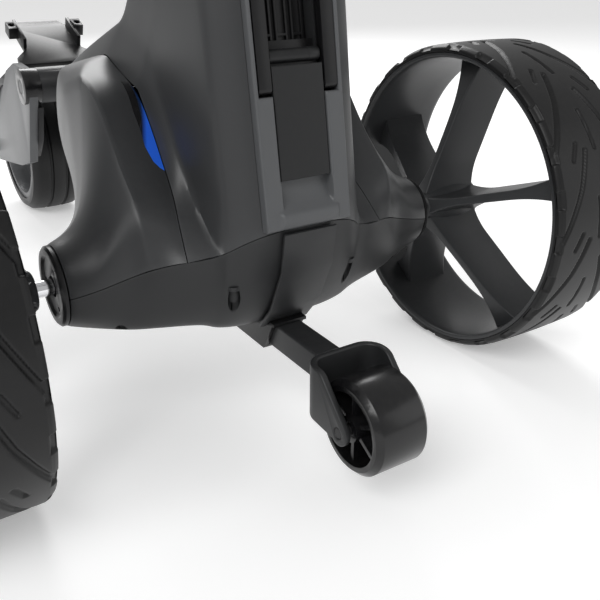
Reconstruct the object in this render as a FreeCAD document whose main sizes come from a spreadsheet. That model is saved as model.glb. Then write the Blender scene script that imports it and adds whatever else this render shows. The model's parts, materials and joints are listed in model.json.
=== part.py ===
"""Electric golf trolley: housing with motor drive, folding front wheel, mast and handle.

Design space, in millimetres: X to the right, Y forward, Z up from the ground. The rear axle line
is at Y = 0 while the pieces are drawn; shift_y then moves every piece so that the origin lies on
the ground in the middle of the whole trolley.
"""
import FreeCAD, Part
import Sketcher
import math
import os

V = FreeCAD.Vector
os.makedirs("parts", exist_ok=True)
doc = FreeCAD.newDocument("GolfTrolley")

# ---------------------------------------------------------------- driving sizes
SIZES = [
    ("shift_y", -156.2, "moves the drawing origin to the middle of the footprint"),
    ("gap", 0.3, "clearance between separate covers and seated pieces"),
    ("running", 0.08, "radial clearance of a shaft in its bore"),
    ("wall", 3.0, "housing wall"),
    ("axle_z", 142.5, "rear axle height, equal to the tyre radius"),
    ("axle_rad", 6.0, "rear axle radius"),
    ("axle_half", 222.0, "half length of the rear axle"),
    ("body_half", 160.0, "half width of the housing"),
    ("tyre_in", 204.0, "inner face of a rear tyre"),
    ("tyre_wide", 92.0, "rear tyre width"),
    ("tyre_thick", 7.2, "rear tread thickness"),
    ("rim_thick", 4.0, "rim barrel thickness"),
    ("hub_in", 176.0, "inner end of a rear hub"),
    ("hub_rad", 22.0, "rear hub radius"),
    ("spoke_thick", 14.0, "rear spoke thickness"),
    ("spokes", 5, "rear wheel spokes"),
    ("gear_wide", 14.0, "gear face width"),
    ("motor_rad", 29.0, "motor can radius"),
    ("motor_long", 62.0, "motor can length"),
    ("bay_y", -87.2, "foot of the leaning battery face"),
    ("bay_z", 183.5, "height of the foot of the battery face"),
    ("lean", 9.0, "forward lean of the battery face, degrees"),
    ("trim_half", 35.0, "half width of the battery surround"),
    ("trim_thick", 10.0, "thickness of the battery surround"),
    ("trim_high", 240.0, "height of the battery surround"),
    ("slot_half", 20.6, "half width of the battery slot"),
    ("cell_half", 20.2, "half width of the battery"),
    ("cell_deep", 84.0, "battery depth"),
    ("cell_low", 33.6, "battery foot above the foot of the face"),
    ("cell_step", 109.3, "top of the battery's outer panel"),
    ("cell_top", 228.0, "battery top"),
    ("bail_low", 95.5, "carry handle pivot above the foot of the face"),
    ("bail_long", 104.0, "carry handle pivot to grip"),
    ("arm_wide", 22.0, "anti-tip arm, square tube"),
    ("arm_top", 93.5, "top of the anti-tip arm"),
    ("lid", 2.7, "wall of the anti-tip receiver"),
    ("receiver_half", 15.0, "half width of the anti-tip receiver"),
    ("arm_rear", 122.0, "rear end of the anti-tip arm behind the axle"),
    ("tip_y", -167.0, "anti-tip wheel axis"),
    ("tip_z", 65.2, "anti-tip wheel height"),
    ("tip_rad", 34.7, "anti-tip wheel radius"),
    ("tip_half", 21.8, "anti-tip wheel half width"),
    ("tip_pin", 4.0, "anti-tip wheel pin radius"),
    ("ear_thick", 5.0, "anti-tip fork ear thickness"),
    ("fold_y", 435.0, "front fold axis"),
    ("fold_z", 212.0, "front fold axis height"),
    ("fold_rad", 20.5, "front fold barrel radius"),
    ("fold_half", 44.5, "half width of the middle barrel"),
    ("front_y", 650.0, "front axle"),
    ("front_rad", 100.0, "front wheel radius"),
    ("front_half", 36.0, "front tyre half width"),
    ("front_pin", 5.0, "front axle radius"),
    ("leg_in", 50.0, "inner face of a front fork leg panel"),
    ("leg_thick", 10.0, "front fork leg panel"),
    ("mast_y", -12.0, "mast pivot"),
    ("mast_z", 464.0, "mast pivot height"),
    ("mast_lean", 28.0, "mast lean behind vertical, degrees"),
    ("mast_long", 430.0, "mast top above its pivot"),
    ("mast_wide", 46.0, "mast tube width"),
    ("mast_deep", 30.0, "mast tube depth"),
    ("mast_wall", 2.5, "mast tube wall"),
    ("stem_rise", 17.0, "handle pivot beyond the mast top"),
    ("stem_long", 150.0, "handle pivot to handle head"),
    ("grip_half", 118.0, "half width of the handle bar"),
    ("grip_rad", 13.0, "handle bar radius"),
]


class Size:
    """A length that carries its value and the spreadsheet expression it came from."""

    def __init__(self, value, text=None):
        self.value = float(value)
        self.text = text or repr(float(value))

    def _pair(self, other, sign, value):
        return Size(value, f"({self.text} {sign} {other.text})")

    def __add__(self, other):
        other = as_size(other)
        return self._pair(other, "+", self.value + other.value)

    def __sub__(self, other):
        other = as_size(other)
        return self._pair(other, "-", self.value - other.value)

    def __mul__(self, other):
        other = as_size(other)
        return self._pair(other, "*", self.value * other.value)

    def __truediv__(self, other):
        other = as_size(other)
        return self._pair(other, "/", self.value / other.value)

    def __radd__(self, other):
        return as_size(other) + self

    def __rsub__(self, other):
        return as_size(other) - self

    def __rmul__(self, other):
        return as_size(other) * self

    def __neg__(self):
        return Size(-self.value, f"(0 - {self.text})")


def as_size(value):
    return value if isinstance(value, Size) else Size(value)


sheet = doc.addObject("Spreadsheet::Sheet", "Sizes")
for row, (name, value, note) in enumerate(SIZES, 1):
    sheet.set(f"A{row}", note)
    sheet.set(f"B{row}", str(value))
    sheet.setAlias(f"B{row}", name)
doc.recompute()
D = {name: Size(float(sheet.get(name)), f"Sizes.{name}") for name, value, note in SIZES}

gap, wall, running = D["gap"], D["wall"], D["running"]
axle_z, axle_rad = D["axle_z"], D["axle_rad"]
NODES = []

# ---------------------------------------------------------------- helpers
ALONG = {
    "x": FreeCAD.Rotation(V(0, 1, 0), 90),
    "y": FreeCAD.Rotation(V(1, 0, 0), -90),
    "z": FreeCAD.Rotation(),
}
ACROSS = {
    "x": FreeCAD.Rotation(V(1, 1, 1), 120),
    "y": FreeCAD.Rotation(V(1, 0, 0), 90),
    "z": FreeCAD.Rotation(),
}


def put(thing, prop, value):
    thing.setExpression(prop, as_size(value).text)


def place(thing, at, turn=None):
    base = [as_size(value) for value in at]
    spot = FreeCAD.Placement(V(*[value.value for value in base]), turn or FreeCAD.Rotation())
    thing.Placement = spot
    for letter, value in zip("xyz", base):
        put(thing, "Placement.Base." + letter, value)
    return thing


def box(low, high):
    """A block between two opposite corners."""
    thing = doc.addObject("Part::Box", "Block")
    for prop, a, b in zip(("Length", "Width", "Height"), low, high):
        put(thing, prop, as_size(b) - a)
    return place(thing, low)


def rod(axis, at, radius, length):
    """A round bar from a point, along X, Y or Z."""
    thing = doc.addObject("Part::Cylinder", "Round")
    put(thing, "Radius", radius)
    put(thing, "Height", length)
    return place(thing, at, ALONG[axis])


def outline(sketch, points):
    """A closed chain of straight lines whose corners follow the sheet."""
    spots = [(as_size(a), as_size(b)) for a, b in points]
    count = len(spots)
    for i in range(count):
        a, b = spots[i], spots[(i + 1) % count]
        line = Part.LineSegment(V(a[0].value, a[1].value, 0), V(b[0].value, b[1].value, 0))
        sketch.addGeometry(line, False)
    for i in range(count):
        sketch.addConstraint(Sketcher.Constraint("Coincident", i, 2, (i + 1) % count, 1))
    for i, (a, b) in enumerate(spots):
        for kind, value in (("DistanceX", a), ("DistanceY", b)):
            index = sketch.addConstraint(Sketcher.Constraint(kind, -1, 1, i, 1, value.value))
            sketch.setExpression(f"Constraints[{index}]", value.text)


def slab(axis, start, length, points):
    """A flat outline pushed along an axis: (y, z) outlines along x, (x, z) along y."""
    sketch = doc.addObject("Sketcher::SketchObject", "Outline")
    outline(sketch, points)
    at = {"x": (start, 0, 0), "y": (0, start, 0), "z": (0, 0, start)}[axis]
    place(sketch, at, ACROSS[axis])
    thing = doc.addObject("Part::Extrusion", "Slab")
    thing.Base = sketch
    thing.DirMode = "Normal"
    thing.Solid = True
    thing.Reversed = axis == "y"
    put(thing, "LengthFwd", length)
    return thing


def join(*things):
    thing = doc.addObject("Part::MultiFuse", "Joined")
    thing.Shapes = list(things)
    thing.Refine = True
    return thing


def cut(base, *tools):
    thing = doc.addObject("Part::Cut", "Trimmed")
    thing.Base = base
    thing.Tool = tools[0] if len(tools) == 1 else join(*tools)
    return thing


def rounded(base, radius, pick):
    """Rounds the edges that pick chooses by their middle point and direction."""
    doc.recompute()
    chosen = []
    for number, edge in enumerate(base.Shape.Edges, 1):
        middle = edge.valueAt((edge.FirstParameter + edge.LastParameter) / 2)
        along = edge.tangentAt((edge.FirstParameter + edge.LastParameter) / 2)
        if pick(middle, along):
            chosen.append((number, radius, radius))
    thing = doc.addObject("Part::Fillet", "Rounded")
    thing.Base = base
    thing.Edges = chosen
    return thing


def body(label):
    return doc.addObject("PartDesign::Body", label)


def origin_feature(owner, role):
    return next(item for item in owner.Origin.OriginFeatures if item.Role == role)


def profile(owner, role, points, offset=0):
    sketch = owner.newObject("Sketcher::SketchObject", "Profile")
    sketch.AttachmentSupport = [(origin_feature(owner, role), "")]
    sketch.MapMode = "FlatFace"
    put(sketch, "AttachmentOffset.Base.z", offset)
    outline(sketch, points)
    return sketch


def revolve(owner, points):
    """Turns an (x, radius) outline about the body's X axis."""
    sketch = profile(owner, "XY_Plane", points)
    turn = owner.newObject("PartDesign::Revolution", "Turned")
    turn.Profile = sketch
    turn.ReferenceAxis = (sketch, ["H_Axis"])
    turn.Angle = 360
    return turn


def pad(owner, role, points, length, offset=0):
    feature = owner.newObject("PartDesign::Pad", "Pad")
    feature.Profile = profile(owner, role, points, offset)
    put(feature, "Length", length)
    feature.Midplane = True
    return feature


def pocket(owner, role, points, length, offset=0):
    feature = owner.newObject("PartDesign::Pocket", "Pocket")
    feature.Profile = profile(owner, role, points, offset)
    put(feature, "Length", length)
    feature.Midplane = True
    return feature


def ring_of(owner, feature, count):
    """Repeats a feature evenly about the body's X axis."""
    feature.Visibility = False
    pattern = owner.newObject("PartDesign::PolarPattern", "Ring")
    pattern.Originals = [feature]
    pattern.Axis = (origin_feature(owner, "X_Axis"), [""])
    pattern.Angle = 360
    put(pattern, "Occurrences", count)
    owner.Tip = pattern
    return pattern


def node(label, thing, at=(0, 0, 0), turn=None):
    """Names a finished piece and puts it in the shared frame."""
    thing.Label = label
    place(thing, (at[0], as_size(at[1]) + D["shift_y"], at[2]), turn)
    NODES.append(thing)
    return thing


def drawn(label, shape):
    """A piece whose surface neither primitives nor sketches can give."""
    thing = doc.addObject("Part::Feature", label)
    thing.Shape = shape
    return node(label, thing)


BAY = ((0, D["bay_y"], D["bay_z"]), FreeCAD.Rotation(V(1, 0, 0), -D["lean"].value))
MAST = ((0, D["mast_y"], D["mast_z"]), FreeCAD.Rotation(V(1, 0, 0), D["mast_lean"].value))

# ---------------------------------------------------------------- housing covers
# Side outlines (y, z) of the covers, one list per distance from the middle plane. Each runs from
# the rear seam over the top to the front seam; the tray's run from the rear seam under the belly.
COVER = {
    35: [(-85.5, 184), (-76.8, 240), (-69.7, 285), (-62.5, 330), (-51.5, 400), (-46.5, 432),
         (22, 438), (95, 312), (248, 262), (270, 236), (274, 186), (245, 162), (115, 152)],
    56: [(-67.5, 168), (-57, 240), (-51, 285), (-45.5, 330), (-34.5, 395), (-29.5, 426),
         (14, 431), (92, 310), (247, 261), (269, 236), (273, 186), (244, 162), (115, 152)],
    62: [(-67, 167), (-36, 187), (-19, 209), (2, 241), (23, 273), (37, 296),
         (62, 305), (93, 308), (245, 260), (267, 235), (271, 186), (242, 162), (115, 152)],
    70: [(-65.5, 165), (-33, 188), (-21, 198), (-1, 214), (21, 239), (44, 265),
         (74, 272), (108, 284), (240, 258), (262, 234), (266, 186), (238, 162), (115, 152)],
    90: [(-56, 163), (-38, 190), (-22, 205), (-3, 222), (14, 242), (36, 266),
         (64, 277), (100, 281), (178, 264), (200, 240), (206, 200), (180, 176), (112, 157)],
    107: [(-46, 158), (-41, 192), (-25, 206), (-7, 221), (7, 238), (22, 256),
          (42, 271), (62, 274), (110, 260), (128, 236), (128, 205), (116, 185), (90, 166)],
    120: [(-38, 152), (-33, 184), (-22, 194), (-9, 200), (4, 204), (16, 205),
          (28, 203), (39, 198), (50, 191), (57, 183), (58, 175), (54, 168), (46, 160)],
}
BELLY = {
    35: [(-85.5, 184), (-80, 150), (-63, 114), (-46, 94), (-20, 86), (45, 88),
         (80, 115), (100, 140), (115, 152)],
    56: [(-67.5, 168), (-66, 148), (-58, 118), (-46, 99), (-20, 92), (45, 92),
         (80, 115), (100, 138), (115, 152)],
    62: [(-67, 167), (-65, 147), (-57, 120), (-45, 102), (-20, 95), (44, 94),
         (79, 115), (99, 138), (115, 152)],
    70: [(-65.5, 165), (-63, 146), (-55, 121), (-43, 104), (-19, 98), (42, 97),
         (76, 115), (97, 137), (115, 152)],
    90: [(-56, 163), (-54, 144), (-48, 121), (-38, 106), (-17, 99), (34, 99),
         (62, 114), (84, 137), (112, 157)],
    107: [(-46, 158), (-45, 141), (-41, 121), (-33, 107), (-14, 100), (24, 101),
          (45, 114), (62, 136), (90, 166)],
    120: [(-38, 152), (-38, 138), (-35, 120), (-28, 108), (-12, 101), (12, 102),
          (28, 114), (38, 135), (46, 160)],
}
DRAWN_HALF, DRAWN_AXLE = 160.0, 142.5
REACH = D["body_half"].value / DRAWN_HALF
RISE = D["axle_z"].value - DRAWN_AXLE


def boss(radius, count, start):
    """Points of a half circle about the axle, from the rear over one side to the front."""
    points = []
    for i in range(count):
        angle = math.radians(180 + start * 180 * i / (count - 1))
        points.append((radius * math.cos(angle), DRAWN_AXLE + radius * math.sin(angle)))
    return points


for rows, count, start in ((COVER, 13, -1), (BELLY, 9, 1)):
    rows[140] = boss(37.0, count, start)
    rows[160] = boss(30.0, count, start)


def inset(points, amount):
    """Moves every side of a closed outline inwards by the same amount."""
    count = len(points)
    area = sum(points[i][0] * points[(i + 1) % count][1] - points[(i + 1) % count][0] * points[i][1]
               for i in range(count))
    side = 1.0 if area > 0 else -1.0
    moved = []
    for i in range(count):
        before, here, after = points[i - 1], points[i], points[(i + 1) % count]
        first = (here[0] - before[0], here[1] - before[1])
        second = (after[0] - here[0], after[1] - here[1])
        normals = []
        for dx, dy in (first, second):
            long = math.hypot(dx, dy)
            normals.append((-dy / long * side, dx / long * side))
        (ax, ay), (bx, by) = normals
        scale = amount / max(0.35, 1 + ax * bx + ay * by)
        moved.append((here[0] + (ax + bx) * scale, here[1] + (ay + by) * scale))
    return moved


def ring_wire(x, points, lift=0.0):
    corners = [V(x * REACH, y, z + RISE + lift) for y, z in points]
    return Part.makePolygon(corners + corners[:1])


def skin(rows, stations, seam, ends, lift=0.0):
    """The outside and the hollow of a cover through the outlines at the given stations.

    seam is how far the hollow runs out through the seam side, ends how far it runs past the
    first and last station, and lift raises the whole cover.
    """
    outer, inner = [], []
    for number, x in enumerate(stations):
        points = rows[abs(x)]
        outer.append(ring_wire(x, points, lift))
        hollow = inset(points, wall.value)
        hollow.insert(0, (hollow[0][0], points[0][1] + seam))
        hollow.append((hollow[-1][0], points[-1][1] + seam))
        spot = x
        if number == 0:
            spot = x + ends[0]
        if number == len(stations) - 1:
            spot = x + ends[1]
        inner.append(ring_wire(spot, hollow, lift))
    return Part.makeLoft(outer, True, True), Part.makeLoft(inner, True, True)


def block(low, high):
    size = [b - a for a, b in zip(low, high)]
    return Part.makeBox(size[0], size[1], size[2], V(*low))


def mirrored(shape):
    return shape.mirror(V(0, 0, 0), V(1, 0, 0))


half_gap = gap.value / 2
MIDDLE = [-70, -62, -56, -35, 35, 56, 62, 70]
FLANK = [70, 90, 107, 120, 140, 160]
bay_turn = BAY[1]
bay_spot = V(0, D["bay_y"].value, D["bay_z"].value)


def in_bay(low, high):
    """A block drawn on the leaning battery face."""
    shape = block(low, high)
    shape.Placement = FreeCAD.Placement(bay_spot, bay_turn).multiply(shape.Placement)
    return shape


def tube_round(shape_x, radius):
    low = -shape_x
    return Part.makeCylinder(radius, 2 * shape_x, V(low, 0, axle_z.value), V(1, 0, 0))


cover_out, cover_in = skin(COVER, MIDDLE, -8, (-2, 2))
spine = cover_out.cut(cover_in)
trim = D["trim_half"].value + gap.value
spine = spine.cut(in_bay((-trim, -20, -gap.value), (trim, 30, D["trim_high"].value + gap.value)))
frame_half = 20.0 + gap.value
spine = spine.cut(block((-frame_half, 200, 195 - gap.value), (frame_half, 320, 229 + gap.value)))
spine = spine.cut(block((-80, -120, 100), (-70 + half_gap, 300, 500)))
spine = spine.cut(block((70 - half_gap, -120, 100), (80, 300, 500)))
drawn("spine_shell", spine)

side_out, side_in = skin(COVER, FLANK, -8, (-2, -3))
side = side_out.cut(side_in)
side = side.cut(block((60, -120, 60), (70 + half_gap, 300, 500)))
side = side.cut(tube_round(200, 12.0))
# Side accents: a dark blade and a coloured inlay, both flush pieces of the flank's wall (x, z).
ACCENTS = {
    "accent_blade": [(71.6, 268.5), (81.5, 268.5), (81.5, 240.5), (76.4, 247.5)],
    "accent_inlay": [(70.5, 266.5), (71.6, 266.5), (75.8, 246.6), (80.8, 239.2), (81.0, 232.0),
                     (79.0, 221.0), (70.5, 212.5)],
}


def accent_tool(points, grow):
    corners = inset(points, -grow) if grow else points
    wire = Part.makePolygon([V(x, -40, z + RISE) for x, z in corners + corners[:1]])
    return Part.Face(wire).extrude(V(0, 150, 0))


for label, points in ACCENTS.items():
    plate = accent_tool(points, 0).common(side)
    side = side.cut(accent_tool(points, 0.2))
    drawn(label + "_right", plate)
    drawn(label + "_left", mirrored(plate))
drawn("side_shell_right", side)
drawn("side_shell_left", mirrored(side))

tray_stations = [-160, -140, -120, -107, -90, -70, -62, -56, -35, 35, 56, 62, 70, 90, 107, 120,
                 140, 160]
tray_out, tray_in = skin(BELLY, tray_stations, 8, (3, -3), -gap.value)
boss_spots = [(50.7, -61.0, 146.0), (124.0, -24.0, 121.0), (94.0, 14.0, 116.0)]
tray = tray_out.cut(tray_in)
pillars = []
for x, y, top in boss_spots:
    for sign in (-1, 1):
        pillars.append(Part.makeCylinder(8.5, top + 4 - 70, V(sign * x, y, 70)))
for pillar in pillars:
    tray = tray.fuse(pillar.common(tray_out))
for x, y, top in boss_spots:
    for sign in (-1, 1):
        tray = tray.cut(Part.makeCylinder(4.6, top - 60, V(sign * x, y, 60)))
receiver_half = D["receiver_half"]
socket = (receiver_half + gap).value
arm_floor = D["arm_top"].value
lid = D["lid"].value
receiver_room = block((-socket, -110, 50), (socket, 28 + gap.value, arm_floor + lid + gap.value))
tray = tray.cut(receiver_room)
tray = tray.cut(tube_round(200, 12.0))
tray = tray.cut(in_bay((-trim, -20, -gap.value), (trim, 30, 30)))
drawn("lower_tray", tray)

screws = []
for x, y, top in boss_spots:
    for sign in (-1, 1):
        head = Part.makeCylinder(4.0, 3.0, V(sign * x, y, top - 3.3 - gap.value))
        slot = block((sign * x - 2.6, y - 0.6, top - 3.6), (sign * x + 2.6, y + 0.6, top - 2.4))
        screws.append(head.cut(slot))
drawn("tray_screws", Part.makeCompound(screws))

panel_in = inset(BELLY[35], -2 * gap.value)[:4]
panel_out = inset(BELLY[35], -2 * gap.value - 2.2)[:4]
panel_in[0], panel_out[0] = (-85.6, 180.6), (-88.0, 180.2)
panel_line = [V(-22, y, z + RISE - gap.value) for y, z in panel_in + panel_out[::-1] + panel_in[:1]]
panel_shape = Part.Face(Part.makePolygon(panel_line)).extrude(V(44, 0, 0)).cut(receiver_room)
drawn("tray_panel", panel_shape)


cover_plate = [(104, 309.6), (240, 265.2), (240.8, 268.0), (105, 312.6)]
cover_slab = slab("x", -48, 96, cover_plate)
lever_turn = FreeCAD.Rotation(V(1, 0, 0), -18.1)
lever_spot = (0, 222, 274.0)
ears = []
for low in (-14, 9.3):
    ears.append(join(box((low, -5, -3.0), (low + 4.7, 5, 5.0)), rod("x", (low, 0, 5.0), 5.0, 4.7)))
lever_mount = place(join(*ears, rod("x", (-14, 0, 5.0), 2.5, 28)), lever_spot, lever_turn)
node("top_cover", join(cover_slab, lever_mount))

# ---------------------------------------------------------------- battery bay
trim_half, trim_thick, trim_high = D["trim_half"], D["trim_thick"], D["trim_high"]
slot_half, cell_half = D["slot_half"], D["cell_half"]
cell_low, cell_step, cell_top = D["cell_low"], D["cell_step"], D["cell_top"]
bail_low, bail_long = D["bail_low"], D["bail_long"]
arm_out = 31.0

surround = box((-trim_half, 0, 0), (trim_half, trim_thick, trim_high))
surround = cut(surround,
               box((-slot_half, -1, cell_low - gap), (slot_half, trim_thick + 1, bail_low)),
               box((-arm_out - 0.7, -1, bail_low - 5.5),
                   (arm_out + 0.7, trim_thick + 1, trim_high - 8)))
lip = slab("x", -slot_half - 4, 2 * slot_half + 8,
           [(0.1, 0), (-6.0, 5.0), (-7.5, 8.5), (-5.5, 11.5), (0.1, 17.5)])
scoop = slab("x", -slot_half, 2 * slot_half,
             [(-12, 16.0), (-2.5, 12.5), (6.5, 20.0), (8.0, 34.0), (-12, 34.0)])
surround = cut(join(surround, lip), scoop)
node("bay_surround", surround, *BAY)

bay_in = slot_half
bay_back = 1.0 + D["cell_deep"] + 1.5
bay = box((-bay_in - 3, trim_thick, cell_low - 3.6), (bay_in + 3, bay_back + 3, cell_top + 4.5))
bay = cut(bay, box((-bay_in, trim_thick - 1, cell_low - gap), (bay_in, bay_back, cell_top + 1.5)))
node("battery_bay", bay, *BAY)

panel = rounded(box((-cell_half, 1.0, cell_low), (cell_half, 11.0, cell_step)), 1.2,
                lambda p, t: p.y < 1.5)
bar = rod("x", (-cell_half + 0.4, 7.2, cell_step + 6.0), 4.6, 2 * cell_half - 0.8)
collar = rod("x", (cell_half - 9.0, 7.2, cell_step + 6.0), 4.75, 8.0)
bar_foot = box((-cell_half + 0.4, 7.2, cell_step - 1.0), (cell_half - 0.4, 11.0, cell_step + 10.0))
pin_cut = [rod("x", (low, 4.6, bail_low), 2.9, 9) for low in (-cell_half - 1, cell_half - 8)]
pin_cut += [box((low, 4.4, bail_low - 2.3), (low + 7.2, 12, bail_low + 2.3)) for low in (-20.2, 13.0)]
node("battery_panel", join(cut(panel, *pin_cut), bar, collar, bar_foot), *BAY)

case = box((-cell_half, 11.0, cell_low), (cell_half, 1.0 + D["cell_deep"], cell_step))
upper = box((-cell_half, 20.0, cell_step), (cell_half, 1.0 + D["cell_deep"], cell_top))
ledge = box((-cell_half, 12.0, cell_step), (cell_half, 20.0, cell_step + 16.0))
ribs = []
for x in (-12.6, 0.0, 12.6):
    for side in (-4.0, 4.0):
        ribs.append(box((x + side - 0.8, 17.6, cell_step + 16), (x + side + 0.8, 20.0, cell_top - 6)))
    ribs.append(box((x - 4.8, 17.6, cell_step + 19.0), (x + 4.8, 20.0, cell_step + 20.6)))
pins = []
for side in (-1, 1):
    low = 13.4 if side > 0 else -29.4
    pins.append(rod("x", (low, 4.6, bail_low), 2.5, 16.0))
    pins.append(box((side * 16.6 - 3.2, 4.6, bail_low - 2.0), (side * 16.6 + 3.2, 12.0, bail_low + 2.0)))
case = join(case, upper, ledge, *ribs)
node("battery_case", join(case, *pins), *BAY)

bail_parts = []
for side in (-1, 1):
    low = 21.2 if side > 0 else -arm_out
    bail_parts.append(box((low, 0.6, bail_low), (low + arm_out - 21.2, 8.6, bail_low + bail_long)))
    bail_parts.append(rod("x", (low, 4.6, bail_low), 4.0, arm_out - 21.2))
bail_parts.append(box((-arm_out, 0.6, bail_low + bail_long - 12), (arm_out, 8.6, bail_low + bail_long)))
bail = join(*bail_parts)
bail = cut(bail, rod("x", (-arm_out - 1, 4.6, bail_low), 2.5 + running, 2 * arm_out + 2))
node("battery_bail", bail, *BAY)

controller = box((-28, bay_back + 3, 40), (28, bay_back + 24, 120))
fins = [box((x, bay_back + 24, 46), (x + 2, bay_back + 30, 114)) for x in range(-26, 26, 8)]
node("controller", join(controller, *fins), *BAY)

# ---------------------------------------------------------------- drive
ends = D["body_half"]
for label, side in (("end_ring_right", 1), ("end_ring_left", -1)):
    ring = body(label)
    revolve(ring, [(side * (ends + 0.2), 8.0), (side * (ends + 2.6), 8.0), (side * (ends + 2.6), 21.0),
                   (side * (ends + 4.2), 23.0), (side * (ends + 4.2), 27.5), (side * (ends + 2.6), 29.4),
                   (side * (ends + 0.2), 29.4)])
    hole = profile(ring, "YZ_Plane", [(15.2, -1.6), (18.4, -1.6), (18.4, 1.6), (15.2, 1.6)],
                   side * (ends + 1.6))
    recess = ring.newObject("PartDesign::Pocket", "Recess")
    recess.Profile = hole
    recess.Length = 2.4
    recess.Midplane = True
    ring_of(ring, recess, 3)
    node(label, ring, (0, 0, axle_z))

bearing_parts = []
for side in (-1, 1):
    low = ends - 12 if side > 0 else -ends + 1.0
    outer = rod("x", (low, 0, axle_z), 11.5, 11)
    bearing_parts.append(cut(outer, rod("x", (low - 1, 0, axle_z), axle_rad + running, 13)))
bearings = doc.addObject("Part::Compound", "Bearings")
bearings.Links = bearing_parts
node("axle_bearings", bearings)

GEAR_TEETH, PINION_TEETH, MODULE, PRESSURE = 54, 14, 1.5, math.radians(20)
MESH_ANGLE = math.radians(15)
CENTRES = (GEAR_TEETH + PINION_TEETH) * MODULE / 2 + 0.15


def gear_outline(teeth, start, hub):
    """Involute teeth with a little backlash, the first tooth centred at the start angle."""
    pitch = teeth * MODULE / 2
    base, tip, root = pitch * math.cos(PRESSURE), pitch + 0.92 * MODULE, pitch - 1.22 * MODULE
    half = math.pi / (2 * teeth) - 0.16 / pitch
    at_pitch = math.tan(PRESSURE) - PRESSURE
    flank = [(root, half + at_pitch)]
    low = max(base, root) + 0.02
    for k in range(5):
        radius = low + (tip - low) * k / 4
        angle = math.acos(base / radius)
        flank.append((radius, half + at_pitch - (math.tan(angle) - angle)))
    points = []
    for i in range(teeth):
        centre = start + 2 * math.pi * i / teeth
        points += [(radius, centre - angle) for radius, angle in flank]
        points += [(radius, centre + angle) for radius, angle in flank[::-1]]
    return [hub + V(0, radius * math.cos(a), radius * math.sin(a)) for radius, a in points]


def gear(teeth, start, centre, bore):
    wide = D["gear_wide"].value
    face = centre + V(-wide / 2, 0, 0)
    points = gear_outline(teeth, start, face)
    blank = Part.Face(Part.makePolygon(points + points[:1])).extrude(V(wide, 0, 0))
    return blank.cut(Part.makeCylinder(bore, wide + 2, face - V(1, 0, 0), V(1, 0, 0)))


axle_spot = V(0, 0, axle_z.value)
pin_y = CENTRES * math.cos(MESH_ANGLE)
pin_z = axle_z + CENTRES * math.sin(MESH_ANGLE)
pinion_spot = V(0, pin_y, pin_z.value)
hub_bore = axle_rad.value + gap.value
drive_gear = gear(GEAR_TEETH, MESH_ANGLE, axle_spot, hub_bore)
for k in range(6):
    angle = math.radians(60 * k)
    spot = axle_spot + V(-20, 24 * math.cos(angle), 24 * math.sin(angle))
    drive_gear = drive_gear.cut(Part.makeCylinder(6.5, 40, spot, V(1, 0, 0)))
drawn("drive_gear", drive_gear)
pinion_start = MESH_ANGLE + math.pi + math.pi / PINION_TEETH
drawn("motor_pinion", gear(PINION_TEETH, pinion_start, pinion_spot, 4.0 + running.value))
axle = rod("x", (-D["axle_half"], 0, axle_z), axle_rad, 2 * D["axle_half"])
node("axle_shaft", rounded(axle, 0.8, lambda p, t: abs(t.x) < 0.5))

half_wide = D["gear_wide"] / 2
case_left = -half_wide - 5
gear_case = join(rod("x", (case_left, 0, axle_z), 46, D["gear_wide"] + 6),
                 rod("x", (case_left, pin_y, pin_z), 19, D["gear_wide"] + 6))
gear_case = cut(gear_case,
                rod("x", (-half_wide - 2, 0, axle_z), 43.0, 40),
                rod("x", (-half_wide - 2, pin_y, pin_z), 14.0, 40),
                rod("x", (case_left - 1, 0, axle_z), axle_rad + running, 20))
node("gear_case", gear_case)
motor_x = case_left + D["gear_wide"] + 6
motor = join(rod("x", (motor_x + 3, pin_y, pin_z), D["motor_rad"], D["motor_long"]),
             rod("x", (motor_x, pin_y, pin_z), 19, 3),
             rod("x", (motor_x, 0, axle_z), 46, 3),
             rod("x", (-half_wide - 1, pin_y, pin_z), 4.0, 30))
motor = cut(motor, rod("x", (motor_x - 1, 0, axle_z), axle_rad + running, 120))
node("motor", motor)

# ---------------------------------------------------------------- rear wheels
tyre_in, tyre_wide = D["tyre_in"], D["tyre_wide"]
tyre_out = tyre_in + tyre_wide
rim_rad = axle_z - D["tyre_thick"]
rim_in_rad = rim_rad - gap - D["rim_thick"]
hub_in, hub_rad = D["hub_in"], D["hub_rad"]


def right_or_left(side, points):
    return [(side * x, r) for x, r in points]


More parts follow.
